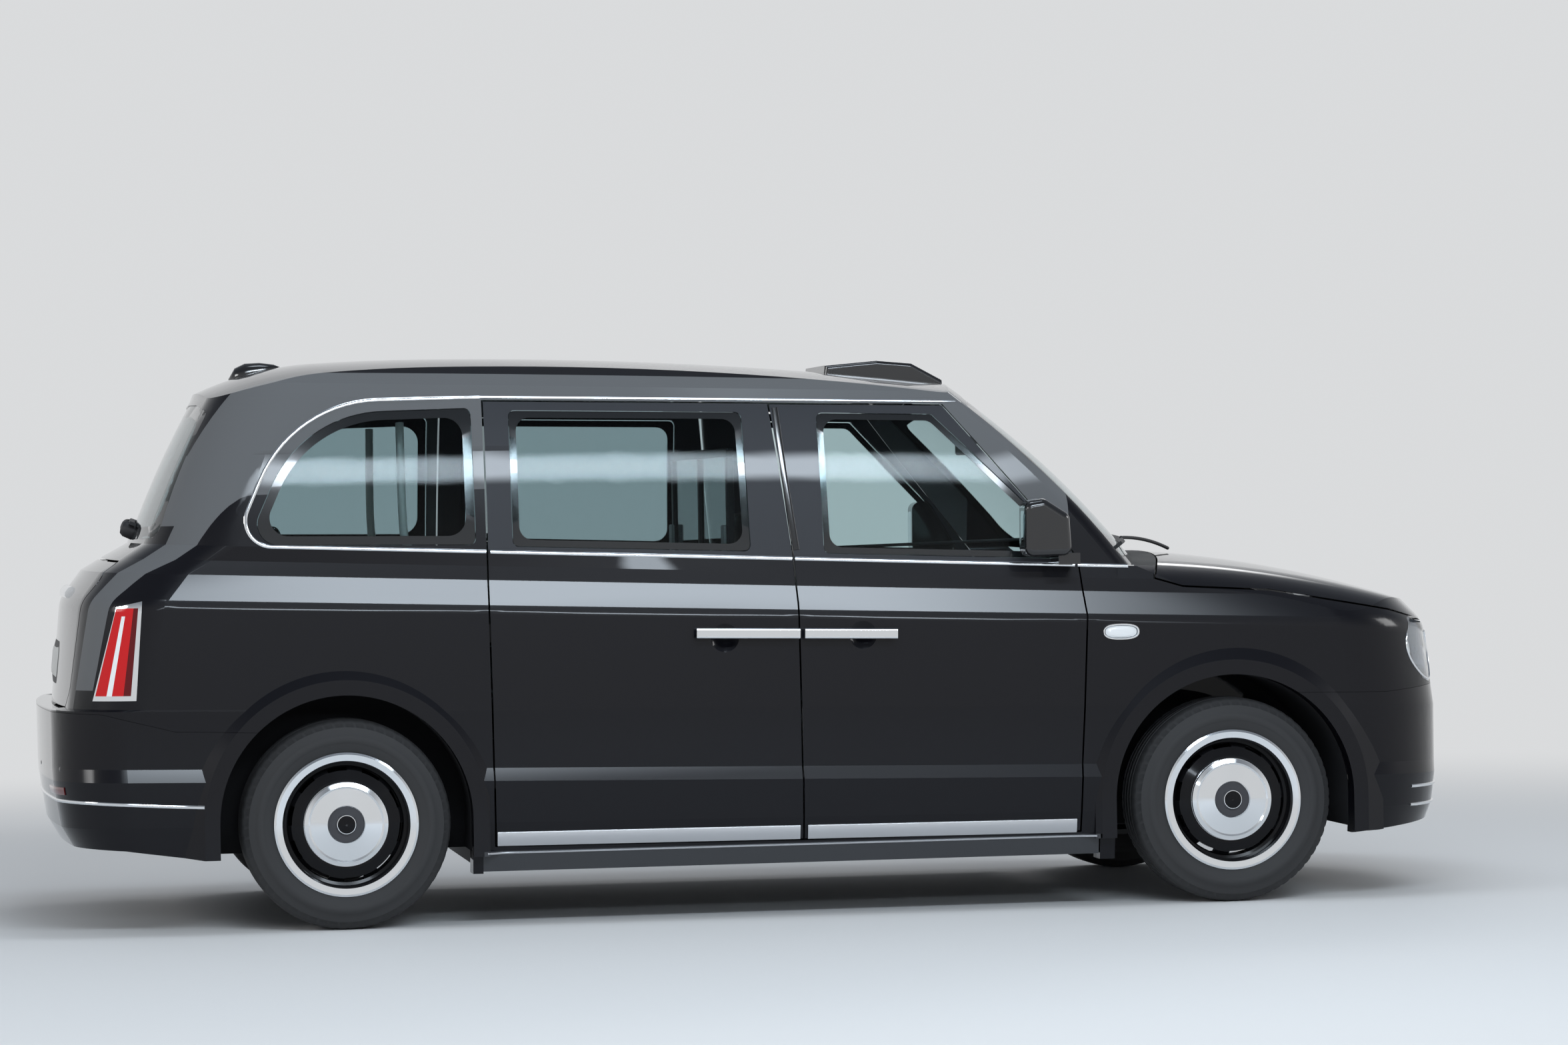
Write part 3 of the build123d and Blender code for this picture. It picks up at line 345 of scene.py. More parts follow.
def dress_masks():
    m = MATERIALS
    m["door"] = masked("painted_door", PAINT, [
        (cabin_side, LINING), (above_belt, SATIN), (on_handle, CHROME)], coat=1.0)
    m["side"] = masked("painted_side", PAINT, [
        (quarter_side, LINING), (inside_arch, DARK)], coat=0.95)
    m["roof"] = masked("painted_roof", PAINT, [(facing_down, ROOF_LINING)], coat=0.95)
    m["bumper"] = masked("painted_bumper", PAINT, [(in_intake, DARK)], coat=0.95)
    m["grille"] = masked("grille_bars", GLOSS, [(grille_front, CHROME)], coat=0.2)
    lights = []
    for y0, z0, bezel, glass in PROJECTORS:
        lights += [(disc(y0, z0, bezel), CHROME), (disc(y0, z0, glass), GLASSY)]
    m["bowl"] = masked("lamp_bowl", BOWL, lights)
    m["tail_lamp"] = masked("tail_lamp_lens", RED, [
        (lamp_band(*DARK_BAND), DARK_RED), (white_rows, WHITE), (lamp_band(*FRONT_BAND), CHROME),
        (lamp_band(*REAR_BAND), CHROME), (lamp_ends, CHROME)], coat=0.8)
    for axle, axle_x in AXLES:
        m[axle + "_rim"] = masked(axle + "_rim_finish", GLOSS, [
            (wheel_zone(axle_x, inner, outer, out), finish)
            for inner, outer, out, finish in WHEEL_RINGS], coat=0.3)


dress_masks()

# The frame's own nodes by finish
WEARS = {
    "roof": "roof", "under": "floor_pan", "satin": "underbody", "bumper": "front_bumper",
    "paint": "tail_panel rear_bumper bonnet boot_lid", "side": "body_side_*",
    "door": "*_door_left *_door_right", "glass": "front_door_glass_* windscreen",
    "dark_glass": "rear_door_glass_* quarter_glasses rear_glass",
    "grille": "grille", "bowl": "headlamps", "lens": "headlamp_lenses", "tail_lamp": "tail_lamps",
    "gloss": "roof_sign mirror_*", "steel": "front_subframe rear_axle knuckle_* engine_block",
    "rubber": "*_tyre_*", "front_rim": "front_rim_*", "rear_rim": "rear_rim_*",
    "panel": "dashboard steering_wheel", "leather": "driver_seat rear_bench", "trim": "partition",
}
CROWNED = "roof"
SMOOTH_ANGLE = radians(14)
WELD_DISTANCE = 0.0002


def smooth_group():
    """geometry nodes: drop the imported normals, weld, smooth all but sharp edges"""
    group = bpy.data.node_groups.new("smooth_panels", "GeometryNodeTree")
    for way in ("INPUT", "OUTPUT"):
        group.interface.new_socket("Geometry", in_out=way, socket_type="NodeSocketGeometry")
    nodes = group.nodes
    angle = nodes.new("GeometryNodeInputMeshEdgeAngle").outputs["Unsigned Angle"]
    sharp = nodes.new("FunctionNodeCompare")
    sharp.operation = "GREATER_THAN"
    fill(sharp.inputs[0], angle)
    fill(sharp.inputs[1], SMOOTH_ANGLE)
    flow = nodes.new("NodeGroupInput").outputs[0]
    for kind, domain, values in (
        ("RemoveAttribute", None, {"Name": "custom_normal"}),
        ("MergeByDistance", None, {"Distance": WELD_DISTANCE}),
        ("SetShadeSmooth", "FACE", {}),
        ("SetShadeSmooth", "EDGE", {"Selection": sharp.outputs[0], "Shade_Smooth": False}),
    ):
        node = give(nodes.new("GeometryNode" + kind), Geometry=flow, **values)
        if domain:
            node.domain = domain
        flow = node.outputs["Geometry"]
    fill(nodes.new("NodeGroupOutput").inputs[0], flow)
    return group


def nodes_like(patterns):
    return [name for pattern in patterns.split() for name in matching(NODES, pattern)]


def dress_nodes():
    for finish, patterns in WEARS.items():
        for name in nodes_like(patterns):
            obj = NODES[name]
            if not obj.data.materials:
                obj.data.materials.append(MATERIALS[finish])
            for slot in obj.material_slots:
                slot.material = MATERIALS[finish]
    NODES[CROWNED].modifiers.new("smooth_panels", "NODES").node_group = smooth_group()


# Studio

PALE = (0.70, 0.71, 0.72)
CEILING = (0.20, 0.22, 0.25)
CEILING_FROM, CEILING_TO = 0.12, 0.65
DAYLIGHT, AMBIENT = (0.86, 0.92, 1.0), 0.46
SKY_BLUE = (0.80, 0.90, 1.0)
PLAIN = (1.0, 1.0, 1.0)
FLOOR_COLOUR, FLOOR_SIZE = (0.68, 0.68, 0.675), 120
FADE_NEAR, FADE_FAR = 3.6, 9.5
# Name, place, height it faces, power, length and width, colour, share of the size that is soft rim
LIGHTS = (
    ("key_light", (0.6, -8.0, 5.7), 0.8, 860, (8.5, 0.95), SKY_BLUE, 0.35),
    ("strip_light", (0.4, -11.0, 3.3), 0.9, 300, (9.0, 0.42), SKY_BLUE, 0.30),
    ("fill_light", (-8.0, -3.5, 3.6), 0.9, 210, (3.0, 2.2), PLAIN, 0.3),
    ("front_light", (8.5, -1.5, 4.2), 0.9, 200, (3.0, 3.0), PLAIN, 0.3),
    ("rim_light", (3.0, 8.5, 6.5), 0.9, 260, (7.0, 2.0), PLAIN, 0.3),
    ("top_light", (-0.4, -1.0, 8.0), 0.0, 230, (5.0, 2.0), SKY_BLUE, 0.3),
)


def soften(data, edge):
    """a soft box that fades towards its rim over a share of its size"""
    data.use_nodes = True
    tree = data.node_tree
    split = add(tree, "SeparateXYZ", Vector=add(tree, "NewGeometry").outputs["Parametric"])
    along, across = [eased(0.5 - abs(Term(share) - 0.5), 0.0, edge) for share in split.outputs[:2]]
    give(tree.nodes["Emission"], Strength=along * across)


def make_lights():
    for name, place, height, power, size, colour, edge in LIGHTS:
        data = bpy.data.lights.new(name, "AREA")
        data.energy = power
        data.color = colour
        data.shape = "RECTANGLE"
        data.size, data.size_y = size
        soften(data, edge)
        lamp = bpy.data.objects.new(name, data)
        bpy.context.scene.collection.objects.link(lamp)
        lamp.location = place
        lamp.rotation_mode = "QUATERNION"
        ahead = Vector((0, 0, height)) - Vector(place)
        lamp.rotation_quaternion = ahead.to_track_quat("-Z", "Y")


def make_world():
    """soft daylight for the object; camera, metal and glass see a pale backdrop"""
    world = bpy.data.worlds.new("studio")
    bpy.context.scene.world = world
    world.use_nodes = True
    tree = world.node_tree
    tree.nodes.clear()
    dim = add(tree, "Background", Color=DAYLIGHT, Strength=AMBIENT)
    height = eased(terms(tree, "Generated")[2], CEILING_FROM, CEILING_TO)
    pale = add(tree, "Background", Color=blend(height, PALE, CEILING))
    path = add(tree, "LightPath").outputs
    seen = Term(path["Is Camera Ray"]).larger(path["Is Glossy Ray"])
    seen = seen.larger(path["Is Transmission Ray"])
    add(tree, "OutputWorld", Surface=blend_shaders(seen, dim, pale))


def make_floor():
    """pale floor that runs into the backdrop with no edge"""
    bpy.ops.mesh.primitive_plane_add(size=FLOOR_SIZE, location=(0, 0, 0))
    floor = bpy.context.object
    floor.name = "studio_floor"
    material = make_material("studio_floor", FLOOR_COLOUR, 0.7, Specular_IOR_Level=0.1)
    tree = material.node_tree
    length = add(tree, "VectorMath", Vector=add(tree, "TexCoord").outputs["Object"])
    length.operation = "LENGTH"
    fade = eased(Term(length.outputs["Value"]), FADE_NEAR, FADE_FAR)
    glow = add(tree, "Emission", Color=PALE)
    seen = blend_shaders(fade, tree.nodes["Principled BSDF"], glow)
    give(tree.nodes["Material Output"], Surface=seen)
    floor.data.materials.append(material)


def make_studio():
    bpy.context.scene.view_settings.view_transform = "Standard"
    make_world()
    make_floor()
    make_lights()


CAMERA_PLACE = (-2.669, -16.539, 1.373)
CAMERA_YAW = 0.17018
CAMERA_PITCH = -0.0042
CAMERA_ROLL = -0.01734
FOCAL_PIXELS = 7179.27
IMAGE_WIDTH = 2352
SENSOR_WIDTH = 36.0
FARTHEST = 200


def make_camera():
    """the photograph's point of view"""
    data = bpy.data.cameras.new("camera")
    data.sensor_width = SENSOR_WIDTH
    data.lens = FOCAL_PIXELS * SENSOR_WIDTH / IMAGE_WIDTH
    data.clip_end = FARTHEST
    camera = bpy.data.objects.new("camera", data)
    bpy.context.scene.collection.objects.link(camera)
    camera.matrix_world = (
        Matrix.Translation(CAMERA_PLACE) @ Matrix.Rotation(-CAMERA_YAW, 4, "Z")
        @ Matrix.Rotation(pi / 2 + CAMERA_PITCH, 4, "X") @ Matrix.Rotation(CAMERA_ROLL, 4, "Z"))
    bpy.context.scene.camera = camera


# Places on the skin

OUTER = ("body_side_* roof tail_panel *_bumper bonnet boot_lid *_door_left *_door_right "
         "underbody grille headlamp_lenses tail_lamps")
BUMPER_TURN_X = 1.85


def skin_of(names):
    """a surface to lay trim on, from CAD nodes at rest"""
    points, faces = [], []
    for name in names:
        mesh = NODES[name].data
        start = len(points)
        points += [vertex.co.copy() for vertex in mesh.vertices]
        faces += [[start + index for index in face.vertices] for face in mesh.polygons]
    return BVHTree.FromPolygons(points, faces)


SKIN = skin_of(nodes_like(OUTER))


def cast(skin, origin, direction):
    """place and outward normal where a ray meets a skin"""
    origin, direction = Vector(origin), Vector(direction)
    place, normal, _, _ = skin.ray_cast(origin, direction)
    if place is None:
        place, normal, _, _ = skin.find_nearest(origin + direction * 2)
    return place, normal if normal.dot(direction) < 0 else -normal


def on_side(side, x, z, skin=SKIN):
    return cast(skin, (x, side * 3, z), (0, -side, 0))


def on_end(end, y, z, skin=SKIN):
    """on the nose for an end of 1, on the tail for -1"""
    return cast(skin, (end * 4, y, z), (-end, 0, 0))


on_nose, on_tail = partial(on_end, 1), partial(on_end, -1)


def round_corner(end, angle, z):
    """on a bumper, by the angle in plan about a point on its middle line"""
    out = Vector((end * cos(angle), sin(angle), 0))
    return cast(SKIN, Vector((end * BUMPER_TURN_X, 0, z)) + out * 2, -out)


# Pieces and their forms

SHARP_ANGLE = radians(40)
# Sections of a trim strip, in shares of its width and rise
HALF_ROUND = ((-0.5, -0.7), (-0.44, 0.45), (-0.2, 0.9), (0.2, 0.9), (0.44, 0.45), (0.5, -0.7))
FLAT = ((-0.5, -0.7), (-0.48, 0.85), (-0.44, 1.0), (0.44, 1.0), (0.48, 0.85), (0.5, -0.7))
TUBE_ROUNDS = 3
DOME_SINK = 0.001


def enlist(obj, data, material, body):
    """puts a new piece in the scene with its finish, body and slot"""
    bpy.context.scene.collection.objects.link(obj)
    data.materials.append(MATERIALS[material])
    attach(obj, body)


def make_piece(name, points, faces, material, body, smooth_faces=True):
    mesh = bpy.data.meshes.new(name)
    mesh.from_pydata([tuple(point) for point in points], [], faces)
    form = bmesh.new()
    form.from_mesh(mesh)
    bmesh.ops.recalc_face_normals(form, faces=form.faces)
    form.to_mesh(mesh)
    form.free()
    for face in mesh.polygons:
        face.use_smooth = smooth_faces
    if smooth_faces:
        mesh.set_sharp_from_angle(angle=SHARP_ANGLE)
    obj = bpy.data.objects.new(name, mesh)
    enlist(obj, mesh, material, body)
    return obj


def lattice(rows, across, closed=False, wrapped=False):
    """faces over rows of points; closed joins the last row to the first, and wrapped the last
    point of each row to its first"""
    faces = []
    for row in range(rows if closed else rows - 1):
        a, b = row * across, (row + 1) % rows * across
        faces += [(a + k, a + k + 1, b + k + 1, b + k) for k in range(across - 1)]
        if wrapped:
            faces.append((a + across - 1, a, b, b + across - 1))
    return faces


def caps(rows, across):
    """end faces of a wrapped lattice"""
    last = (rows - 1) * across
    return [tuple(range(across)), tuple(range(last + across - 1, last - 1, -1))]


def ribbon(name, body, path, width, rise, material, section=HALF_ROUND, closed=False):
    """a strip of trim along a path of places and normals"""
    points = []
    count, across = len(path), len(section)
    for index, (place, normal) in enumerate(path):
        after = path[(index + 1) % count if closed else min(index + 1, count - 1)][0]
        before = path[index - 1 if closed or index else 0][0]
        aside = normal.cross(after - before).normalized()
        out = normal.normalized()
        points += [place + aside * width * u + out * rise * h for u, h in section]
    faces = lattice(count, across, closed, wrapped=True)
    if not closed:
        faces += caps(count, across)
    return make_piece(name, points, faces, material, body)


def dome(name, body, outline, place, rise, material, rings=5):
    """a low crowned patch over an outline; place lays a pair of numbers on the skin"""
    count = len(outline)
    middle = [sum(corner[k] for corner in outline) / count for k in (0, 1)]
    points = []
    for ring in range(rings):
        share = 1 - ring / rings
        lift = rise * sqrt(1 - share ** 4) - (0 if ring else DOME_SINK)
        for corner in outline:
            where, normal = place(*[middle[k] + (corner[k] - middle[k]) * share for k in (0, 1)])
            points.append(where + normal * lift)
    where, normal = place(*middle)
    points.append(where + normal * rise)
    last = (rings - 1) * count
    faces = lattice(rings, count, wrapped=True)
    faces += [(last + k, last + (k + 1) % count, len(points) - 1) for k in range(count)]
    return make_piece(name, points, faces, material, body)


def between(a, b, count):
    return [a + (b - a) * k / count for k in range(count + 1)]


def rounded(corners, closed=True, steps=8):
    """an outline with arcs at its corners, from rows of two coordinates and a radius"""
    spots = []
    count = len(corners)
    for index, (u, v, radius) in enumerate(corners):
        here = Vector((u, v))
        if not radius or (not closed and index in (0, count - 1)):
            spots.append(here)
            continue
        back = (Vector(corners[index - 1][:2]) - here).normalized()
        ahead = (Vector(corners[(index + 1) % count][:2]) - here).normalized()
        half = back.angle(ahead) / 2
        centre = here + (back + ahead).normalized() * radius / sin(half)
        start = here + back * radius / tan(half) - centre
        end = here + ahead * radius / tan(half) - centre
        turn = start.angle_signed(end)
        for step in range(steps + 1):
            spot = start.copy()
            spot.rotate(Matrix.Rotation(-turn * step / steps, 2))
            spots.append(centre + spot)
    return spots


def even(spots, step, closed=False):
    """the same line with points a step apart"""
    line = spots + [spots[0]] if closed else spots
    out = []
    for a, b in zip(line, line[1:]):
        parts = max(1, ceil((b - a).length / step))
        out += [a.lerp(b, k / parts) for k in range(parts)]
    if not closed:
        out.append(line[-1])
    return out


def oblong(half, low, high, radius, step=0.05, steps=3):
    """a rectangle with round corners about the middle line, in even steps"""
    corners = ((-half, high), (half, high), (half, low), (-half, low))
    spots = rounded([(*corner, radius) for corner in corners], steps=steps)
    return even(spots, step, closed=True)


def oval(u, v, half_u, half_v, count=28, power=2.0):
    spots = []
    for k in range(count):
        c, s = cos(tau * k / count), sin(tau * k / count)
        spots.append((u + half_u * abs(c) ** (2 / power) * (1 if c > 0 else -1),
                      v + half_v * abs(s) ** (2 / power) * (1 if s > 0 else -1)))
    return spots


def turned(name, body, profile, centre, axis, material, count=20):
    """a turned piece: profile rows are distance along the axis and radius"""
    axis = Vector(axis).normalized()
    aside = axis.orthogonal().normalized()
    points = []
    for k in range(count):
        out = aside.copy()
        out.rotate(Quaternion(axis, tau * k / count))
        points += [Vector(centre) + axis * along + out * radius for along, radius in profile]
    faces = lattice(count, len(profile), closed=True)
    return make_piece(name, points, faces, material, body)


def tube(name, body, route, radius, material):
    """a round bar along a few points, its corners eased by a spline"""
    curve = bpy.data.curves.new(name, "CURVE")
    curve.dimensions = "3D"
    curve.bevel_depth = radius
    curve.bevel_resolution = TUBE_ROUNDS
    curve.use_fill_caps = True
    spline = curve.splines.new("NURBS")
    spline.points.add(len(route) - 1)
    for point, place in zip(spline.points, route):
        point.co = (*place, 1.0)
    spline.order_u = 3
    spline.use_endpoint_u = True
    enlist(bpy.data.objects.new(name, curve), curve, material, body)


def prism(name, outline, y0, y1, material, edge):
    """a block with eased edges, fixed to the body: four corners in x and z, drawn out across"""
    points = [(x, y, z) for y in (y0, y1) for x, z in outline]
    faces = [(0, 1, 2, 3), (7, 6, 5, 4)]
    faces += [(k, (k + 1) % 4, (k + 1) % 4 + 4, k + 4) for k in range(4)]
    piece = make_piece(name, points, faces, material, "body", smooth_faces=False)
    eased_edge = piece.modifiers.new("edges", "BEVEL")
    eased_edge.width = edge
    eased_edge.segments = 3
    eased_edge.limit_method = "ANGLE"
    return piece


def boxed(name, low, high, material, edge=0.006):
    (x0, y0, z0), (x1, y1, z1) = low, high
    return prism(name, ((x0, z0), (x1, z0), (x1, z1), (x0, z1)), y0, y1, material, edge)


# Bright trim along the sides. Heights fall forward with the body's own lines.

DOOR_REAR_X, POST_X, DOOR_FRONT_X, GAP = -0.963, 0.052, 1.016, 0.005
# Height at x = 0, fall, width, rise, finish and section
BELT = (BELT_Z, BELT_FALL, 0.013, 0.0045, "chrome", HALF_ROUND)
DRIP = (1.7185, 0.0217, 0.010, 0.004, "chrome", HALF_ROUND)
BOTTOM = (0.2805, 0.0054, 0.048, 0.006, "brushed", FLAT)
BOARD = (0.2385, 0.0, 0.008, 0.004, "brushed", HALF_ROUND)
# Name, the door that it rides on unless it is the body, rear and front end, and the above
UPPER_TRIM = (
    ("belt_rear_door_", "rear_door_", DOOR_REAR_X + GAP, POST_X - GAP, *BELT),
    ("belt_front_door_", "front_door_", POST_X + GAP, DOOR_FRONT_X - GAP, *BELT),
    ("belt_front_post_", None, DOOR_FRONT_X + GAP, 1.238, *BELT),
    ("drip_line_", None, -0.972, 0.640, *DRIP),
)
LOWER_TRIM = (
    ("bottom_strip_rear_", "rear_door_", -0.955, 0.052, *BOTTOM),
    ("bottom_strip_front_", "front_door_", 0.078, 0.992, *BOTTOM),
    ("board_edge_", None, -0.99, 1.06, *BOARD),
)
QUARTER_TRIM = ((-0.972, 1.7396, 0.0), (-1.590, 1.731, 0.44), (-1.800, 1.262, 0.085),
                (-0.972, 1.2283, 0.0))
POST_STRIP = ((0.018, 1.690), (0.036, 1.45), (0.063, 1.215))
TRIM_STEP = 0.05
REPEATER, REPEATER_HALF, REPEATER_RISE = (1.156, 0.920), (0.060, 0.025), 0.007
REPEATER_FRAME, REPEATER_POWER = 0.004, 2.6


def straight_trim(tag, side, rows):
    for name, door, x0, x1, level, fall, *look in rows:
        parts = max(1, ceil((x1 - x0) / TRIM_STEP))
        path = [on_side(side, x, level - fall * x) for x in between(x0, x1, parts)]
        ribbon(name + tag, door + tag if door else "body", path, *look)


def make_side_trim(tag, side):
    straight_trim(tag, side, UPPER_TRIM)
    spots = even(rounded(QUARTER_TRIM, closed=False, steps=14), 0.04)
    path = [on_side(side, x, z) for x, z in spots]
    ribbon("quarter_trim_" + tag, "body", path, *BELT[2:])
    straight_trim(tag, side, LOWER_TRIM)
    path = [on_side(side, x, z) for x, z in POST_STRIP]
    ribbon("post_strip_" + tag, "front_door_" + tag, path, 0.020, 0.004, "gloss", FLAT)


def make_repeater(tag, side):
    place = partial(on_side, side)
    path = [place(x, z) for x, z in oval(*REPEATER, *REPEATER_HALF, power=REPEATER_POWER)]
    ribbon("repeater_frame_" + tag, "body", path, 0.008, REPEATER_RISE, "chrome", closed=True)
    inner = [half - REPEATER_FRAME for half in REPEATER_HALF]
    dome("repeater_lens_" + tag, "body", oval(*REPEATER, *inner, power=REPEATER_POWER), place,
         REPEATER_RISE, "white_lens")


# Panes: dark borders laid on each pane, with rounded inner corners

BORDER_LIFT, BORDER_SINK = 0.0006, 0.0004
BORDER_INSET, BORDER_CORNER = 0.0015, 0.004
SHORTEST_EDGE = 0.0005
SMALLEST_TURN = 0.004
ROUND_STEPS = 48


def hull_outline(spots):
    """convex outline of spots, turning left"""
    spots = sorted(set((round(u, 5), round(v, 5)) for u, v in spots))
    chains = []
    for row in (spots, spots[::-1]):
        chain = []
        for spot in row:
            while len(chain) > 1 and (
                (chain[-1][0] - chain[-2][0]) * (spot[1] - chain[-2][1])
                - (chain[-1][1] - chain[-2][1]) * (spot[0] - chain[-2][0]) <= 0
            ):
                chain.pop()
            chain.append(spot)
        chains += chain[:-1]
    return chains


def shrunk(outline, depth, radius):
    """an outline moved in by depth, its corners then rounded to radius: a row of support
    lines is moved in by both and the round added back"""
    lines = []
    for (u0, v0), (u1, v1) in zip(outline, outline[1:] + outline[:1]):
        length = sqrt((u1 - u0) ** 2 + (v1 - v0) ** 2)
        if length > SHORTEST_EDGE:
            out = ((v1 - v0) / length, (u0 - u1) / length)
            lines.append((out, out[0] * u0 + out[1] * v0 - depth - radius))
    core = list(outline)
    for (nu, nv), reach in lines:
        kept = []
        for a, b in zip(core, core[1:] + core[:1]):
            da, db = nu * a[0] + nv * a[1] - reach, nu * b[0] + nv * b[1] - reach
            if da <= 0:
                kept.append(a)
            if da * db < 0:
                share = da / (da - db)
                kept.append((a[0] + (b[0] - a[0]) * share, a[1] + (b[1] - a[1]) * share))
        core = kept
    turns = [tau * k / ROUND_STEPS for k in range(ROUND_STEPS)]
    return hull_outline([(u + radius * cos(turn), v + radius * sin(turn))
                         for u, v in core for turn in turns])


def at_angle(outline, middle, angle):
    """where a ray from the middle leaves a convex outline"""
    du, dv = cos(angle), sin(angle)
    for a, b in zip(outline, outline[1:] + outline[:1]):
        au, av = a[0] - middle[0], a[1] - middle[1]
        bu, bv = b[0] - a[0], b[1] - a[1]
        cross = du * bv - dv * bu
        if abs(cross) < 1e-12:
            continue
        reach = (au * bv - av * bu) / cross
        share = (au * dv - av * du) / cross
        if reach > 0 and -1e-6 <= share <= 1 + 1e-6:
            return middle[0] + du * reach, middle[1] + dv * reach
    return outline[0]


def pane_border(name, body, node, side, width, radius, end=0):
    """dark printed border of a pane, seen from the side or from an end of the vehicle"""
    skin = skin_of([node])
    keep = [v.co for v in NODES[node].data.vertices if end or v.co.y * side > 0]
    outline = hull_outline([(p.y, p.z) if end else (p.x, p.z) for p in keep])
    outer = shrunk(outline, BORDER_INSET, BORDER_CORNER)
    inner = shrunk(outline, width, radius)
    middle = [sum(p[k] for p in inner) / len(inner) for k in (0, 1)]
    angles = sorted(atan2(p[1] - middle[1], p[0] - middle[0]) for p in inner + outer[::2])
    angles = [a for a, b in zip(angles, angles[1:] + [9]) if b - a > SMALLEST_TURN]
    points, faces = [], []
    for angle in angles:
        far, near = at_angle(outer, middle, angle), at_angle(inner, middle, angle)
        for share in (0, 0.5, 1):
            spot = [far[k] + (near[k] - far[k]) * share for k in (0, 1)]
            where, normal = on_end(end, *spot, skin) if end else on_side(side, *spot, skin)
            points += [where + normal * BORDER_LIFT, where - normal * BORDER_SINK]
    count = len(angles)
    for k in range(count):
        a, b = k * 6, (k + 1) % count * 6
        faces += [(a + i, a + j, b + j, b + i)
                  for i, j in ((0, 2), (2, 4), (4, 5), (1, 0), (3, 1), (5, 3))]
    return make_piece(name, points, faces, "frit", body)


def make_pane_borders(tag, side):
    for place, width in (("front_door", 0.022), ("rear_door", 0.024)):
        pane_border(place + "_pane_border_" + tag, place + "_" + tag, place + "_glass_" + tag,
                    side, width, 0.045)
    pane_border("quarter_pane_border_" + tag, "body", "quarter_glasses", side, 0.030, 0.060)


# Nose and tail. Each plate is half its width, its heights and its corners' radius.

GRILLE_FRAME = (0.436, 0.731, 0.886, 0.03)
BLADES, BLADE_FROM, BLADE_TO = (("upper", 0.371), ("lower", 0.308)), radians(69), radians(40)
RING_Y, RING_Z, RING_WIDE, RING_TALL = 0.699, 0.842, 0.116, 0.112
RING_FROM, RING_TO = radians(155), radians(385)
FRONT_PLATE = (0.26, 0.505, 0.615, 0.012)
REAR_LINE_Z, REAR_LINE_DIP, REAR_LINE_POWER = 0.4435, 0.028, 14
REAR_LINE_TURN = radians(86.5)
REFLECTOR_FROM, REFLECTOR_TO, REFLECTOR_Z = radians(58), radians(48), 0.474
SENSORS_Y, SENSOR_Z, SENSOR_R = (0.30, 0.78), 0.545, 0.010
BOOT_HANDLE_HALF, BOOT_HANDLE_Z = 0.30, 1.112
PLATE_PANEL = (0.29, 0.800, 0.955, 0.02)
REAR_PLATE = (0.26, 0.822, 0.933, 0.012)


def corner_band(name, end, turns, parts, height, width, rise, finish, section=HALF_ROUND):
    """trim round a bumper; height is a number or works it out from the angle"""
    path = [round_corner(end, turn, height(turn) if callable(height) else height)
            for turn in between(*turns, parts)]
    ribbon(name, "body", path, width, rise, finish, section)


def rear_line_z(turn):
    return REAR_LINE_Z - REAR_LINE_DIP * abs(sin(turn)) ** REAR_LINE_POWER


def make_nose():
    path = [on_nose(y, z) for y, z in oblong(*GRILLE_FRAME, step=0.04, steps=8)]
    ribbon("grille_surround", "body", path, 0.016, 0.008, "chrome", closed=True)
    for tag, side in SIDES:
        for name, height in BLADES:
            corner_band("bumper_blade_" + name + "_" + tag, 1, (side * BLADE_FROM, side * BLADE_TO),
                        16, height, 0.012, 0.006, "chrome")
        path = [on_nose(side * (RING_Y + RING_WIDE * cos(turn)), RING_Z + RING_TALL * sin(turn))
                for turn in between(RING_FROM, RING_TO, 26)]
        ribbon("headlamp_ring_" + tag, "body", path, 0.007, 0.004, "chrome")
    dome("front_plate", "body", oblong(*FRONT_PLATE), on_nose, 0.006, "plate", rings=4)


def make_tail():
    corner_band("rear_bumper_line", -1, (-REAR_LINE_TURN, REAR_LINE_TURN), 64, rear_line_z, 0.012,
                0.0045, "chrome")
    for tag, side in SIDES:
        corner_band("rear_reflector_" + tag, -1, (side * REFLECTOR_FROM, side * REFLECTOR_TO), 8,
                    REFLECTOR_Z, 0.026, 0.004, "red_dark", FLAT)
        for y in SENSORS_Y:
            dome("parking_sensor_%d_%s" % (y * 100, tag), "body",
                 oval(side * y, SENSOR_Z, SENSOR_R, SENSOR_R, 14), on_tail, 0.0015, "gloss",
                 rings=2)
    handle = [on_tail(y, BOOT_HANDLE_Z) for y in between(-BOOT_HANDLE_HALF, BOOT_HANDLE_HALF, 16)]
    ribbon("boot_handle", "boot_lid", handle, 0.046, 0.016, "chrome")
    dome("rear_plate_panel", "boot_lid", oblong(*PLATE_PANEL), on_tail, 0.004, "plastic", rings=3)
    dome("rear_plate", "boot_lid", oblong(*REAR_PLATE), on_tail, 0.009, "plate", rings=4)


# Wipers, aerial and mirrors

# Each wiper's blade from one side to the other, and its pivot
WIPERS = ((-0.72, -0.06, -0.10), (0.02, 0.62, 0.60))
WIPER_Z, WIPER_SLOPE, PIVOT_Z = 1.205, 0.03, 1.172
BLADE_SIZE = (0.012, 0.012)
REAR_WIPER = (-0.05, 0.42)
REAR_WIPER_Z, REAR_WIPER_SLOPE, REAR_PIVOT_Z = 1.335, 0.02, 1.312
REAR_BOSS = ((-0.004, 0.030), (0.030, 0.028), (0.042, 0.020), (0.046, 0.0005))
# Sections of the aerial's fin: x, half width and height
FIN = ((-1.756, 0.004, 0.004), (-1.735, 0.034, 0.034), (-1.700, 0.042, 0.040),
       (-1.650, 0.036, 0.030), (-1.600, 0.022, 0.014), (-1.580, 0.006, 0.003))
FIN_STEPS, FIN_SINK, FIN_POWER = 12, 0.004, 0.7
MIRROR_GLASS = ((0.930, 1.345, 0.02), (1.004, 1.335, 0.02), (1.004, 1.205, 0.02),
                (0.930, 1.205, 0.02))


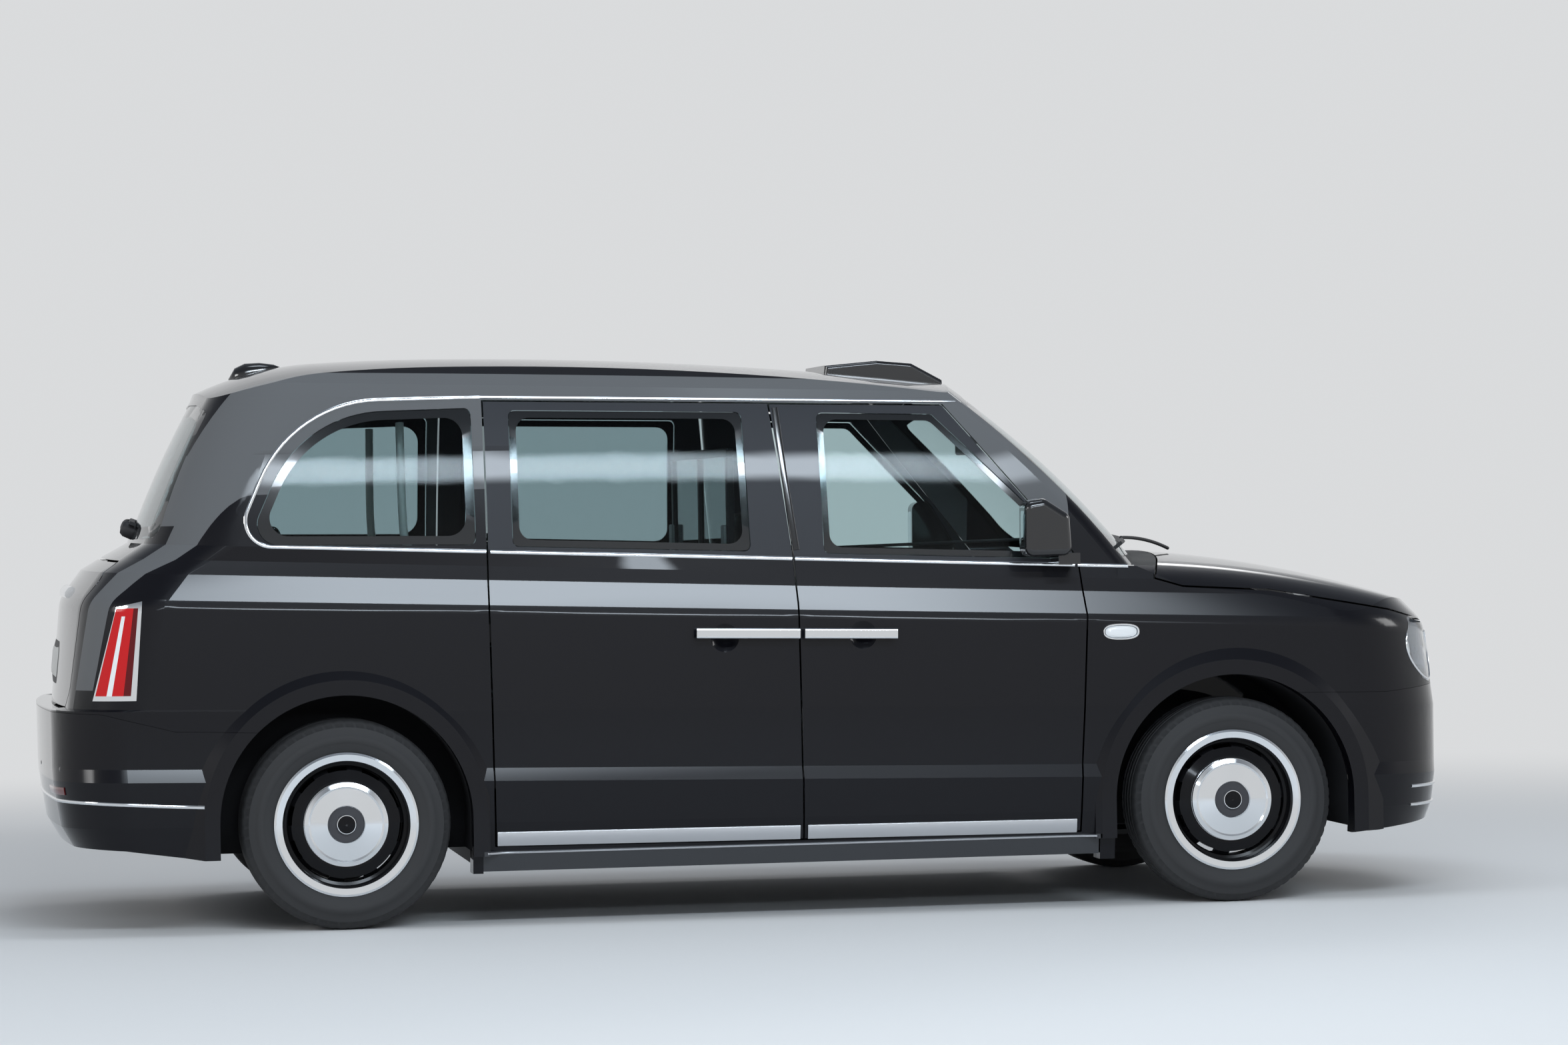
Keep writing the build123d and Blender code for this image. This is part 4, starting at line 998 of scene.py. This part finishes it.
def make_blade(name, end, y0, y1, parts, level, slope, skin, lift):
    """a wiper's blade, held off the glass"""
    blade = [on_end(end, y, level + slope * y, skin) for y in between(y0, y1, parts)]
    lifted = [(place + normal * lift, normal) for place, normal in blade]
    ribbon(name, "body", lifted, *BLADE_SIZE, "plastic", FLAT)
    return [place for place, _ in lifted]


def make_wipers():
    glass, rear = skin_of(["windscreen"]), skin_of(["rear_glass"])
    for y0, y1, pivot in WIPERS:
        tag = round(pivot * 100)
        blade = make_blade("wiper_blade_%d" % tag, 1, y0, y1, 12, WIPER_Z - WIPER_SLOPE * y0,
                           WIPER_SLOPE, glass, 0.010)
        middle = blade[len(blade) // 2] + Vector((0.004, 0, 0.010))
        root, normal = on_nose(pivot, PIVOT_Z)
        route = [root + normal * 0.016, root.lerp(middle, 0.5) + normal * 0.030, middle]
        tube("wiper_arm_%d" % tag, "body", route, 0.006, "plastic")
    root, normal = on_end(-1, 0.0, REAR_PIVOT_Z, rear)
    turned("rear_wiper_boss", "body", REAR_BOSS, root, normal, "plastic")
    blade = make_blade("rear_wiper_blade", -1, *REAR_WIPER, 10, REAR_WIPER_Z, REAR_WIPER_SLOPE,
                       rear, 0.012)
    route = [root + normal * 0.040, blade[3] + normal * 0.028, blade[5] + normal * 0.012]
    tube("rear_wiper_arm", "body", route, 0.007, "plastic")


def make_aerial():
    """a low fin at the back of the roof"""
    points = []
    for x, half, tall in FIN:
        base = cast(SKIN, (x, 0, 3), (0, 0, -1))[0].z
        for turn in between(0, pi, FIN_STEPS):
            lift = (tall + FIN_SINK) * abs(sin(turn)) ** FIN_POWER
            points.append((x, half * cos(turn), base - FIN_SINK + lift))
    across = FIN_STEPS + 1
    faces = lattice(len(FIN), across, wrapped=True) + caps(len(FIN), across)
    make_piece("aerial_fin", points, faces, "gloss", "body")


def make_mirror_glass(tag, side):
    skin = skin_of(["mirror_" + tag])

    def place(y, z):
        return cast(skin, (0.5, side * y, z), (1, 0, 0))
    spots = even(rounded(MIRROR_GLASS, steps=4), 0.03, closed=True)
    dome("mirror_glass_" + tag, "front_door_" + tag, spots, place, 0.002, "mirror", rings=3)


# Tyres with grooves, shoulder sipes and rings on the wall

TYRE_STEPS = 240
SIPE_EVERY, SIPE_SHARE = 4, 0.5
TREAD, TREAD_RISE = 0.3435, 0.0008
GROOVES = (-0.052, -0.018, 0.018, 0.052)
GROOVE_HALF, GROOVE_LIP, GROOVE_DEEP = 0.0045, 0.0055, 0.008
# Outer wall: distance outwards, radius and how deep a sipe cuts there
WALL = ((0.086, 0.223, 0), (0.098, 0.240, 0), (0.1045, 0.262, 0), (0.1062, 0.268, 0),
        (0.1070, 0.2690, 0), (0.1070, 0.2900, 0), (0.1058, 0.2915, 0), (0.1025, 0.306, 0),
        (0.0995, 0.3185, 0), (0.0985, 0.3190, 0.002), (0.090, 0.334, 0.004),
        (0.084, 0.3400, 0.005), (0.070, TREAD, 0.006))


def tyre_profile():
    """rows from the inner bead over the tread to the outer one"""
    rows = [(-out, radius, sipe) for out, radius, sipe in WALL]
    for groove in GROOVES:
        for shift, deep in ((-GROOVE_LIP, 0), (-GROOVE_HALF, GROOVE_DEEP),
                            (GROOVE_HALF, GROOVE_DEEP), (GROOVE_LIP, 0)):
            rows.append((groove + shift, TREAD + TREAD_RISE - deep, 0))
    return rows + list(WALL[::-1])


def make_tyre(axle, axle_x, tag, side):
    rows = tyre_profile()
    points = []
    for step in range(TYRE_STEPS):
        turn = tau * step / TYRE_STEPS
        cut = 0 if step % SIPE_EVERY else SIPE_SHARE
        for out, radius, sipe in rows:
            reach = radius - sipe * cut
            points.append((axle_x + reach * cos(turn), side * WHEEL_Y + out,
                           TYRE_R + reach * sin(turn)))
    faces = lattice(TYRE_STEPS, len(rows), closed=True, wrapped=True)
    name = axle + "_tyre_tread_" + tag
    tyre = make_piece(name, points, faces, "rubber", axle + "_wheel_" + tag)
    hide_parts(axle + "_tyre_" + tag)


# Dark liners inside the wheel arches, round the sweep of the wheel

LINER_R, LINER_STEPS = 0.4125, 36
LINER_MIDDLE_Z, LINER_LOW_Z = 0.357, 0.245
LINER_OUT, LINER_IN = 0.862, {"front": 0.445, "rear": 0.66}
LINER_WALL = 0.003


def make_liner(axle, axle_x, tag, side):
    """a bowed sheet over the wheel with a wall behind it"""
    bow = [(LINER_R * cos(turn), LINER_MIDDLE_Z + LINER_R * sin(turn))
           for turn in between(0, pi, LINER_STEPS)]
    outline = [(LINER_R, LINER_LOW_Z)] + bow + [(-LINER_R, LINER_LOW_Z)]
    points = [(axle_x + x, side * y, z) for x, z in outline for y in (LINER_OUT, LINER_IN[axle])]
    faces = lattice(len(outline), 2) + [tuple(range(1, len(points), 2))]
    liner = make_piece(axle + "_arch_liner_" + tag, points, faces, "liner", "body")
    wall = liner.modifiers.new("wall", "SOLIDIFY")
    wall.thickness = LINER_WALL
    wall.offset = 0


# Padded pieces

PAD_VOXEL = 0.011
PAD_FRAMES = 20
PAD_PRESSURE = 4.0
PAD_EDGE, PAD_EDGE_POWER = 0.35, 6
SEAM_DEPTH, SEAM_HALF = 0.006, 0.010


def pad_mesh(name, columns, rows, place, thick):
    """a cushion between a front and a back surface of a grid, before it is puffed up"""
    points, faces = [], []
    for level in (-0.5, 0.5):
        for j in range(rows + 1):
            for i in range(columns + 1):
                u, v = i / columns * 2 - 1, j / rows * 2 - 1
                edge = (1 - abs(u) ** PAD_EDGE_POWER) * (1 - abs(v) ** PAD_EDGE_POWER)
                points.append(place(u, v, level * thick * (PAD_EDGE + (1 - PAD_EDGE) * edge)))
    row = columns + 1
    size = row * (rows + 1)
    for j in range(rows):
        for i in range(columns):
            a = j * row + i
            faces.append((a, a + 1, a + row + 1, a + row))
            faces.append((size + a, size + a + row, size + a + row + 1, size + a + 1))
    rim = [i for i in range(columns)] + [j * row + columns for j in range(rows)]
    rim += [rows * row + i for i in range(columns, 0, -1)] + [j * row for j in range(rows, 0, -1)]
    for a, b in zip(rim, rim[1:] + rim[:1]):
        faces.append((a, size + a, size + b, b))
    return make_piece(name, points, faces, "leather", "body")


def bake_down(obj):
    """applies the modifiers of a piece"""
    graph = bpy.context.evaluated_depsgraph_get()
    mesh = bpy.data.meshes.new_from_object(obj.evaluated_get(graph))
    old = obj.data
    obj.modifiers.clear()
    obj.data = mesh
    mesh.name = old.name


def puff(obj, cap):
    """swells a pad with cloth under pressure, no point moving further than the cap"""
    remesh = obj.modifiers.new("remesh", "REMESH")
    remesh.mode = "VOXEL"
    remesh.voxel_size = PAD_VOXEL
    bake_down(obj)
    before = [vertex.co.copy() for vertex in obj.data.vertices]
    cloth = obj.modifiers.new("puff", "CLOTH")
    cloth.settings.use_pressure = True
    cloth.settings.uniform_pressure_force = PAD_PRESSURE
    cloth.settings.effector_weights.gravity = 0.0
    cloth.settings.quality = 4
    cloth.point_cache.frame_end = PAD_FRAMES
    for frame_number in range(1, PAD_FRAMES + 1):
        bpy.context.scene.frame_set(frame_number)
    bake_down(obj)
    bpy.context.scene.frame_set(1)
    for vertex, start in zip(obj.data.vertices, before):
        move = vertex.co - start
        if move.length > cap:
            vertex.co = start + move * (cap / move.length)
    for face in obj.data.polygons:
        face.use_smooth = True


def sewn(obj, lines):
    """draws channels into a pad along its seams, at their places across the cab"""
    for vertex in obj.data.vertices:
        for line in lines:
            away = abs(vertex.co.y - line)
            if away < SEAM_HALF:
                vertex.co -= vertex.normal * (SEAM_DEPTH * (1 - away / SEAM_HALF) ** 0.7)


def slab(centre, across, along, bow):
    """lays grid numbers on a leaning plane: centre, half vectors and how far it dishes"""
    centre, across, along = Vector(centre), Vector(across), Vector(along)
    out = across.cross(along).normalized()

    def place(u, v, lift):
        return centre + across * u + along * v + out * (lift - bow * (1 - u * u))
    return place


def make_pad(name, centre, half, along, thick, bow=0.0, lines=(), cap=0.012, grid=(26, 18)):
    """a pad by its centre, half width, half vector along, thickness, dish and seams"""
    pad = pad_mesh(name, *grid, slab(centre, (0, half, 0), along, bow), thick)
    puff(pad, cap)
    sewn(pad, lines)
    edge = pad.modifiers.new("soften", "SUBSURF")
    edge.levels = 1
    edge.render_levels = 1
    return pad


# Cabin. Seat bases are corners in x and z.

SEAT_LOW, SEAT_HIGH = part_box("driver_seat")
SCREEN_LOW, SCREEN_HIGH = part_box("partition")
SEAT_SEAM = 0.13
HEADREST_POST = ((0.0, 1.15), (-0.012, 1.19), (-0.022, 1.24))
POST_APART = 0.05
SEAT_BASE, SEAT_BASE_HALF = ((0.16, 0.367), (0.56, 0.367), (0.58, 0.52), (0.14, 0.54)), 0.19
BENCH_HALF, BENCH_SEAMS, BENCH_GRID = 0.585, (-0.20, 0.20), (60, 20)
BENCH_HEADRESTS = (-0.405, 0.0, 0.405)
BENCH_BASE, BENCH_BASE_HALF = ((-1.62, 0.602), (-1.09, 0.602), (-1.07, 0.70), (-1.62, 0.70)), 0.58
SCREEN_WAIST, SCREEN_INSET, SCREEN_RAIL, SCREEN_POST = 1.10, 0.06, 0.03, 0.04
GRAB_Y, GRAB_HALF, GRAB_Z = 0.60, 0.035, (1.13, 1.30)
POLE = ((-1.16, 0.66, 1.20), (-1.215, 0.645, 1.23), (-1.225, 0.64, 1.35), (-1.225, 0.61, 1.60),
        (-1.225, 0.60, 1.66))


def make_driver_seat():
    y = (SEAT_LOW.y + SEAT_HIGH.y) / 2
    seams = (y - SEAT_SEAM, y + SEAT_SEAM)
    cushion = make_pad("driver_cushion", (0.36, y, 0.585), 0.225, (-0.225, 0, -0.012), 0.115,
                       0.012, seams)
    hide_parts("driver_seat")
    make_pad("driver_backrest", (0.062, y, 0.905), 0.220, (-0.062, 0, 0.265), 0.100, 0.015, seams)
    make_pad("driver_headrest", (-0.030, y, 1.265), 0.125, (-0.016, 0, 0.072), 0.085, cap=0.008,
             grid=(16, 12))
    for shift in (-POST_APART, POST_APART):
        tube("driver_headrest_post_%d" % (100 + shift * 100), "body",
             [(x, y + shift, z) for x, z in HEADREST_POST], 0.006, "chrome")
    prism("driver_seat_base", SEAT_BASE, y - SEAT_BASE_HALF, y + SEAT_BASE_HALF, "plastic", 0.012)


def make_rear_bench():
    cushion = make_pad("bench_cushion", (-1.275, 0, 0.755), BENCH_HALF, (-0.215, 0, -0.010), 0.105,
                       lines=BENCH_SEAMS, grid=BENCH_GRID)
    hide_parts("rear_bench")
    make_pad("bench_back", (-1.555, 0, 1.045), BENCH_HALF, (-0.055, 0, 0.235), 0.100,
             lines=BENCH_SEAMS, grid=BENCH_GRID)
    for y in BENCH_HEADRESTS:
        make_pad("bench_headrest_%d" % (100 + y * 100), (-1.642, y, 1.270), 0.115,
                 (-0.010, 0, 0.052), 0.060, cap=0.006, grid=(14, 10))
    prism("bench_base", BENCH_BASE, -BENCH_BASE_HALF, BENCH_BASE_HALF, "plastic", 0.01)


def make_partition():
    x0, x1 = SCREEN_LOW.x, SCREEN_HIGH.x
    wide, top = SCREEN_HIGH.y, SCREEN_HIGH.z
    waist, rail, half = SCREEN_WAIST, top - SCREEN_RAIL, wide - SCREEN_INSET
    lower = boxed("partition_panel", (x0, -wide, SCREEN_LOW.z), (x1, wide, waist), "trim")
    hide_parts("partition")
    for y in (-half, -SCREEN_POST / 2, half - SCREEN_POST):
        boxed("partition_post_%d" % (100 + y * 100), (x0, y, waist), (x1, y + SCREEN_POST, rail),
              "plastic")
    boxed("partition_rail", (x0, -half, rail), (x1, half, top), "plastic")
    boxed("partition_pane", (x0 + 0.009, -half + 0.03, waist), (x1 - 0.009, half - 0.03, rail),
          "glass", edge=0.001)
    for side in (-1, 1):
        y = side * GRAB_Y
        boxed("grab_box_%d" % (2 + side), (x0 - 0.012, y - GRAB_HALF, GRAB_Z[0]),
              (x0 - 0.001, y + GRAB_HALF, GRAB_Z[1]), "grey")


def make_poles():
    for tag, side in SIDES:
        tube("grab_pole_" + tag, "body", [(x, side * y, z) for x, y, z in POLE], 0.014, "pole")


# Dash. The hood over the dials is a row of x and z, arched over a half width.

HOOD, HOOD_Z, HOOD_HALF, HOOD_STEPS = ((0.79, 1.000), (0.83, 1.072), (0.93, 1.095),
                                       (1.02, 1.078)), 1.0, 0.19, 12
VENTS_Y, VENT_HALF, VENT_SLATS = (-0.66, 0.30, 0.62), 0.045, 4
VENT_Z, VENT_PITCH, VENT_SLAT = 0.945, 0.012, 0.005
MIRROR_Z, MIRROR_HALF = 1.60, (0.012, 0.12, 0.032)
MIRROR_POD = ((0.0, 0.045), (-0.02, 0.044), (-0.045, 0.030), (-0.050, 0.0005))


def make_dash():
    low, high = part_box("steering_wheel")
    y = (low.y + high.y) / 2
    points = []
    for k in range(HOOD_STEPS + 1):
        u = k / (HOOD_STEPS / 2) - 1
        rise = sqrt(max(0.0, 1 - u ** 4))
        points += [(x, y + HOOD_HALF * u, HOOD_Z + (z - HOOD_Z) * rise) for x, z in HOOD]
    faces = lattice(HOOD_STEPS + 1, len(HOOD))
    shell = make_piece("binnacle_hood", points, faces, "panel", "body")
    shell.modifiers.new("wall", "SOLIDIFY").thickness = 0.006
    boxed("binnacle_face", (0.835, y - 0.15, 0.985), (0.85, y + 0.15, 1.06), "gloss", 0.004)
    boxed("centre_screen", (0.775, -0.13, 0.90), (0.79, 0.09, 1.05), "gloss", 0.004)
    for middle in VENTS_Y:
        for slat in range(VENT_SLATS):
            z = VENT_Z + slat * VENT_PITCH
            boxed("vent_%d_%d" % (100 + middle * 100, slat), (0.772, middle - VENT_HALF, z),
                  (0.79, middle + VENT_HALF, z + VENT_SLAT), "plastic", 0.001)


def make_interior_mirror():
    place, normal = cast(skin_of(["windscreen"]), (4, 0, MIRROR_Z), (-1, 0, 0))
    inside = place - normal * 0.012
    turned("mirror_pod", "body", MIRROR_POD, inside, normal, "plastic")
    head, half = inside + Vector((-0.10, 0, -0.03)), Vector(MIRROR_HALF)
    boxed("cabin_mirror", head - half, head + half, "plastic", 0.010)
    tube("cabin_mirror_stem", "body", [inside, (inside + head) / 2, head], 0.006, "plastic")


dress_nodes()
make_nose()
make_tail()
make_wipers()
make_aerial()
for side_tag, side_sign in SIDES:
    make_side_trim(side_tag, side_sign)
    make_repeater(side_tag, side_sign)
    make_pane_borders(side_tag, side_sign)
    make_mirror_glass(side_tag, side_sign)
    for axle_name, axle_middle in AXLES:
        make_tyre(axle_name, axle_middle, side_tag, side_sign)
    for axle_name, axle_middle in AXLES:
        make_liner(axle_name, axle_middle, side_tag, side_sign)
pane_border("windscreen_border", "body", "windscreen", 1, 0.045, 0.06, end=1)
pane_border("rear_glass_border", "body", "rear_glass", 1, 0.040, 0.06, end=-1)
make_driver_seat()
make_rear_bench()
make_partition()
make_poles()
make_dash()
make_interior_mirror()
make_studio()
make_camera()
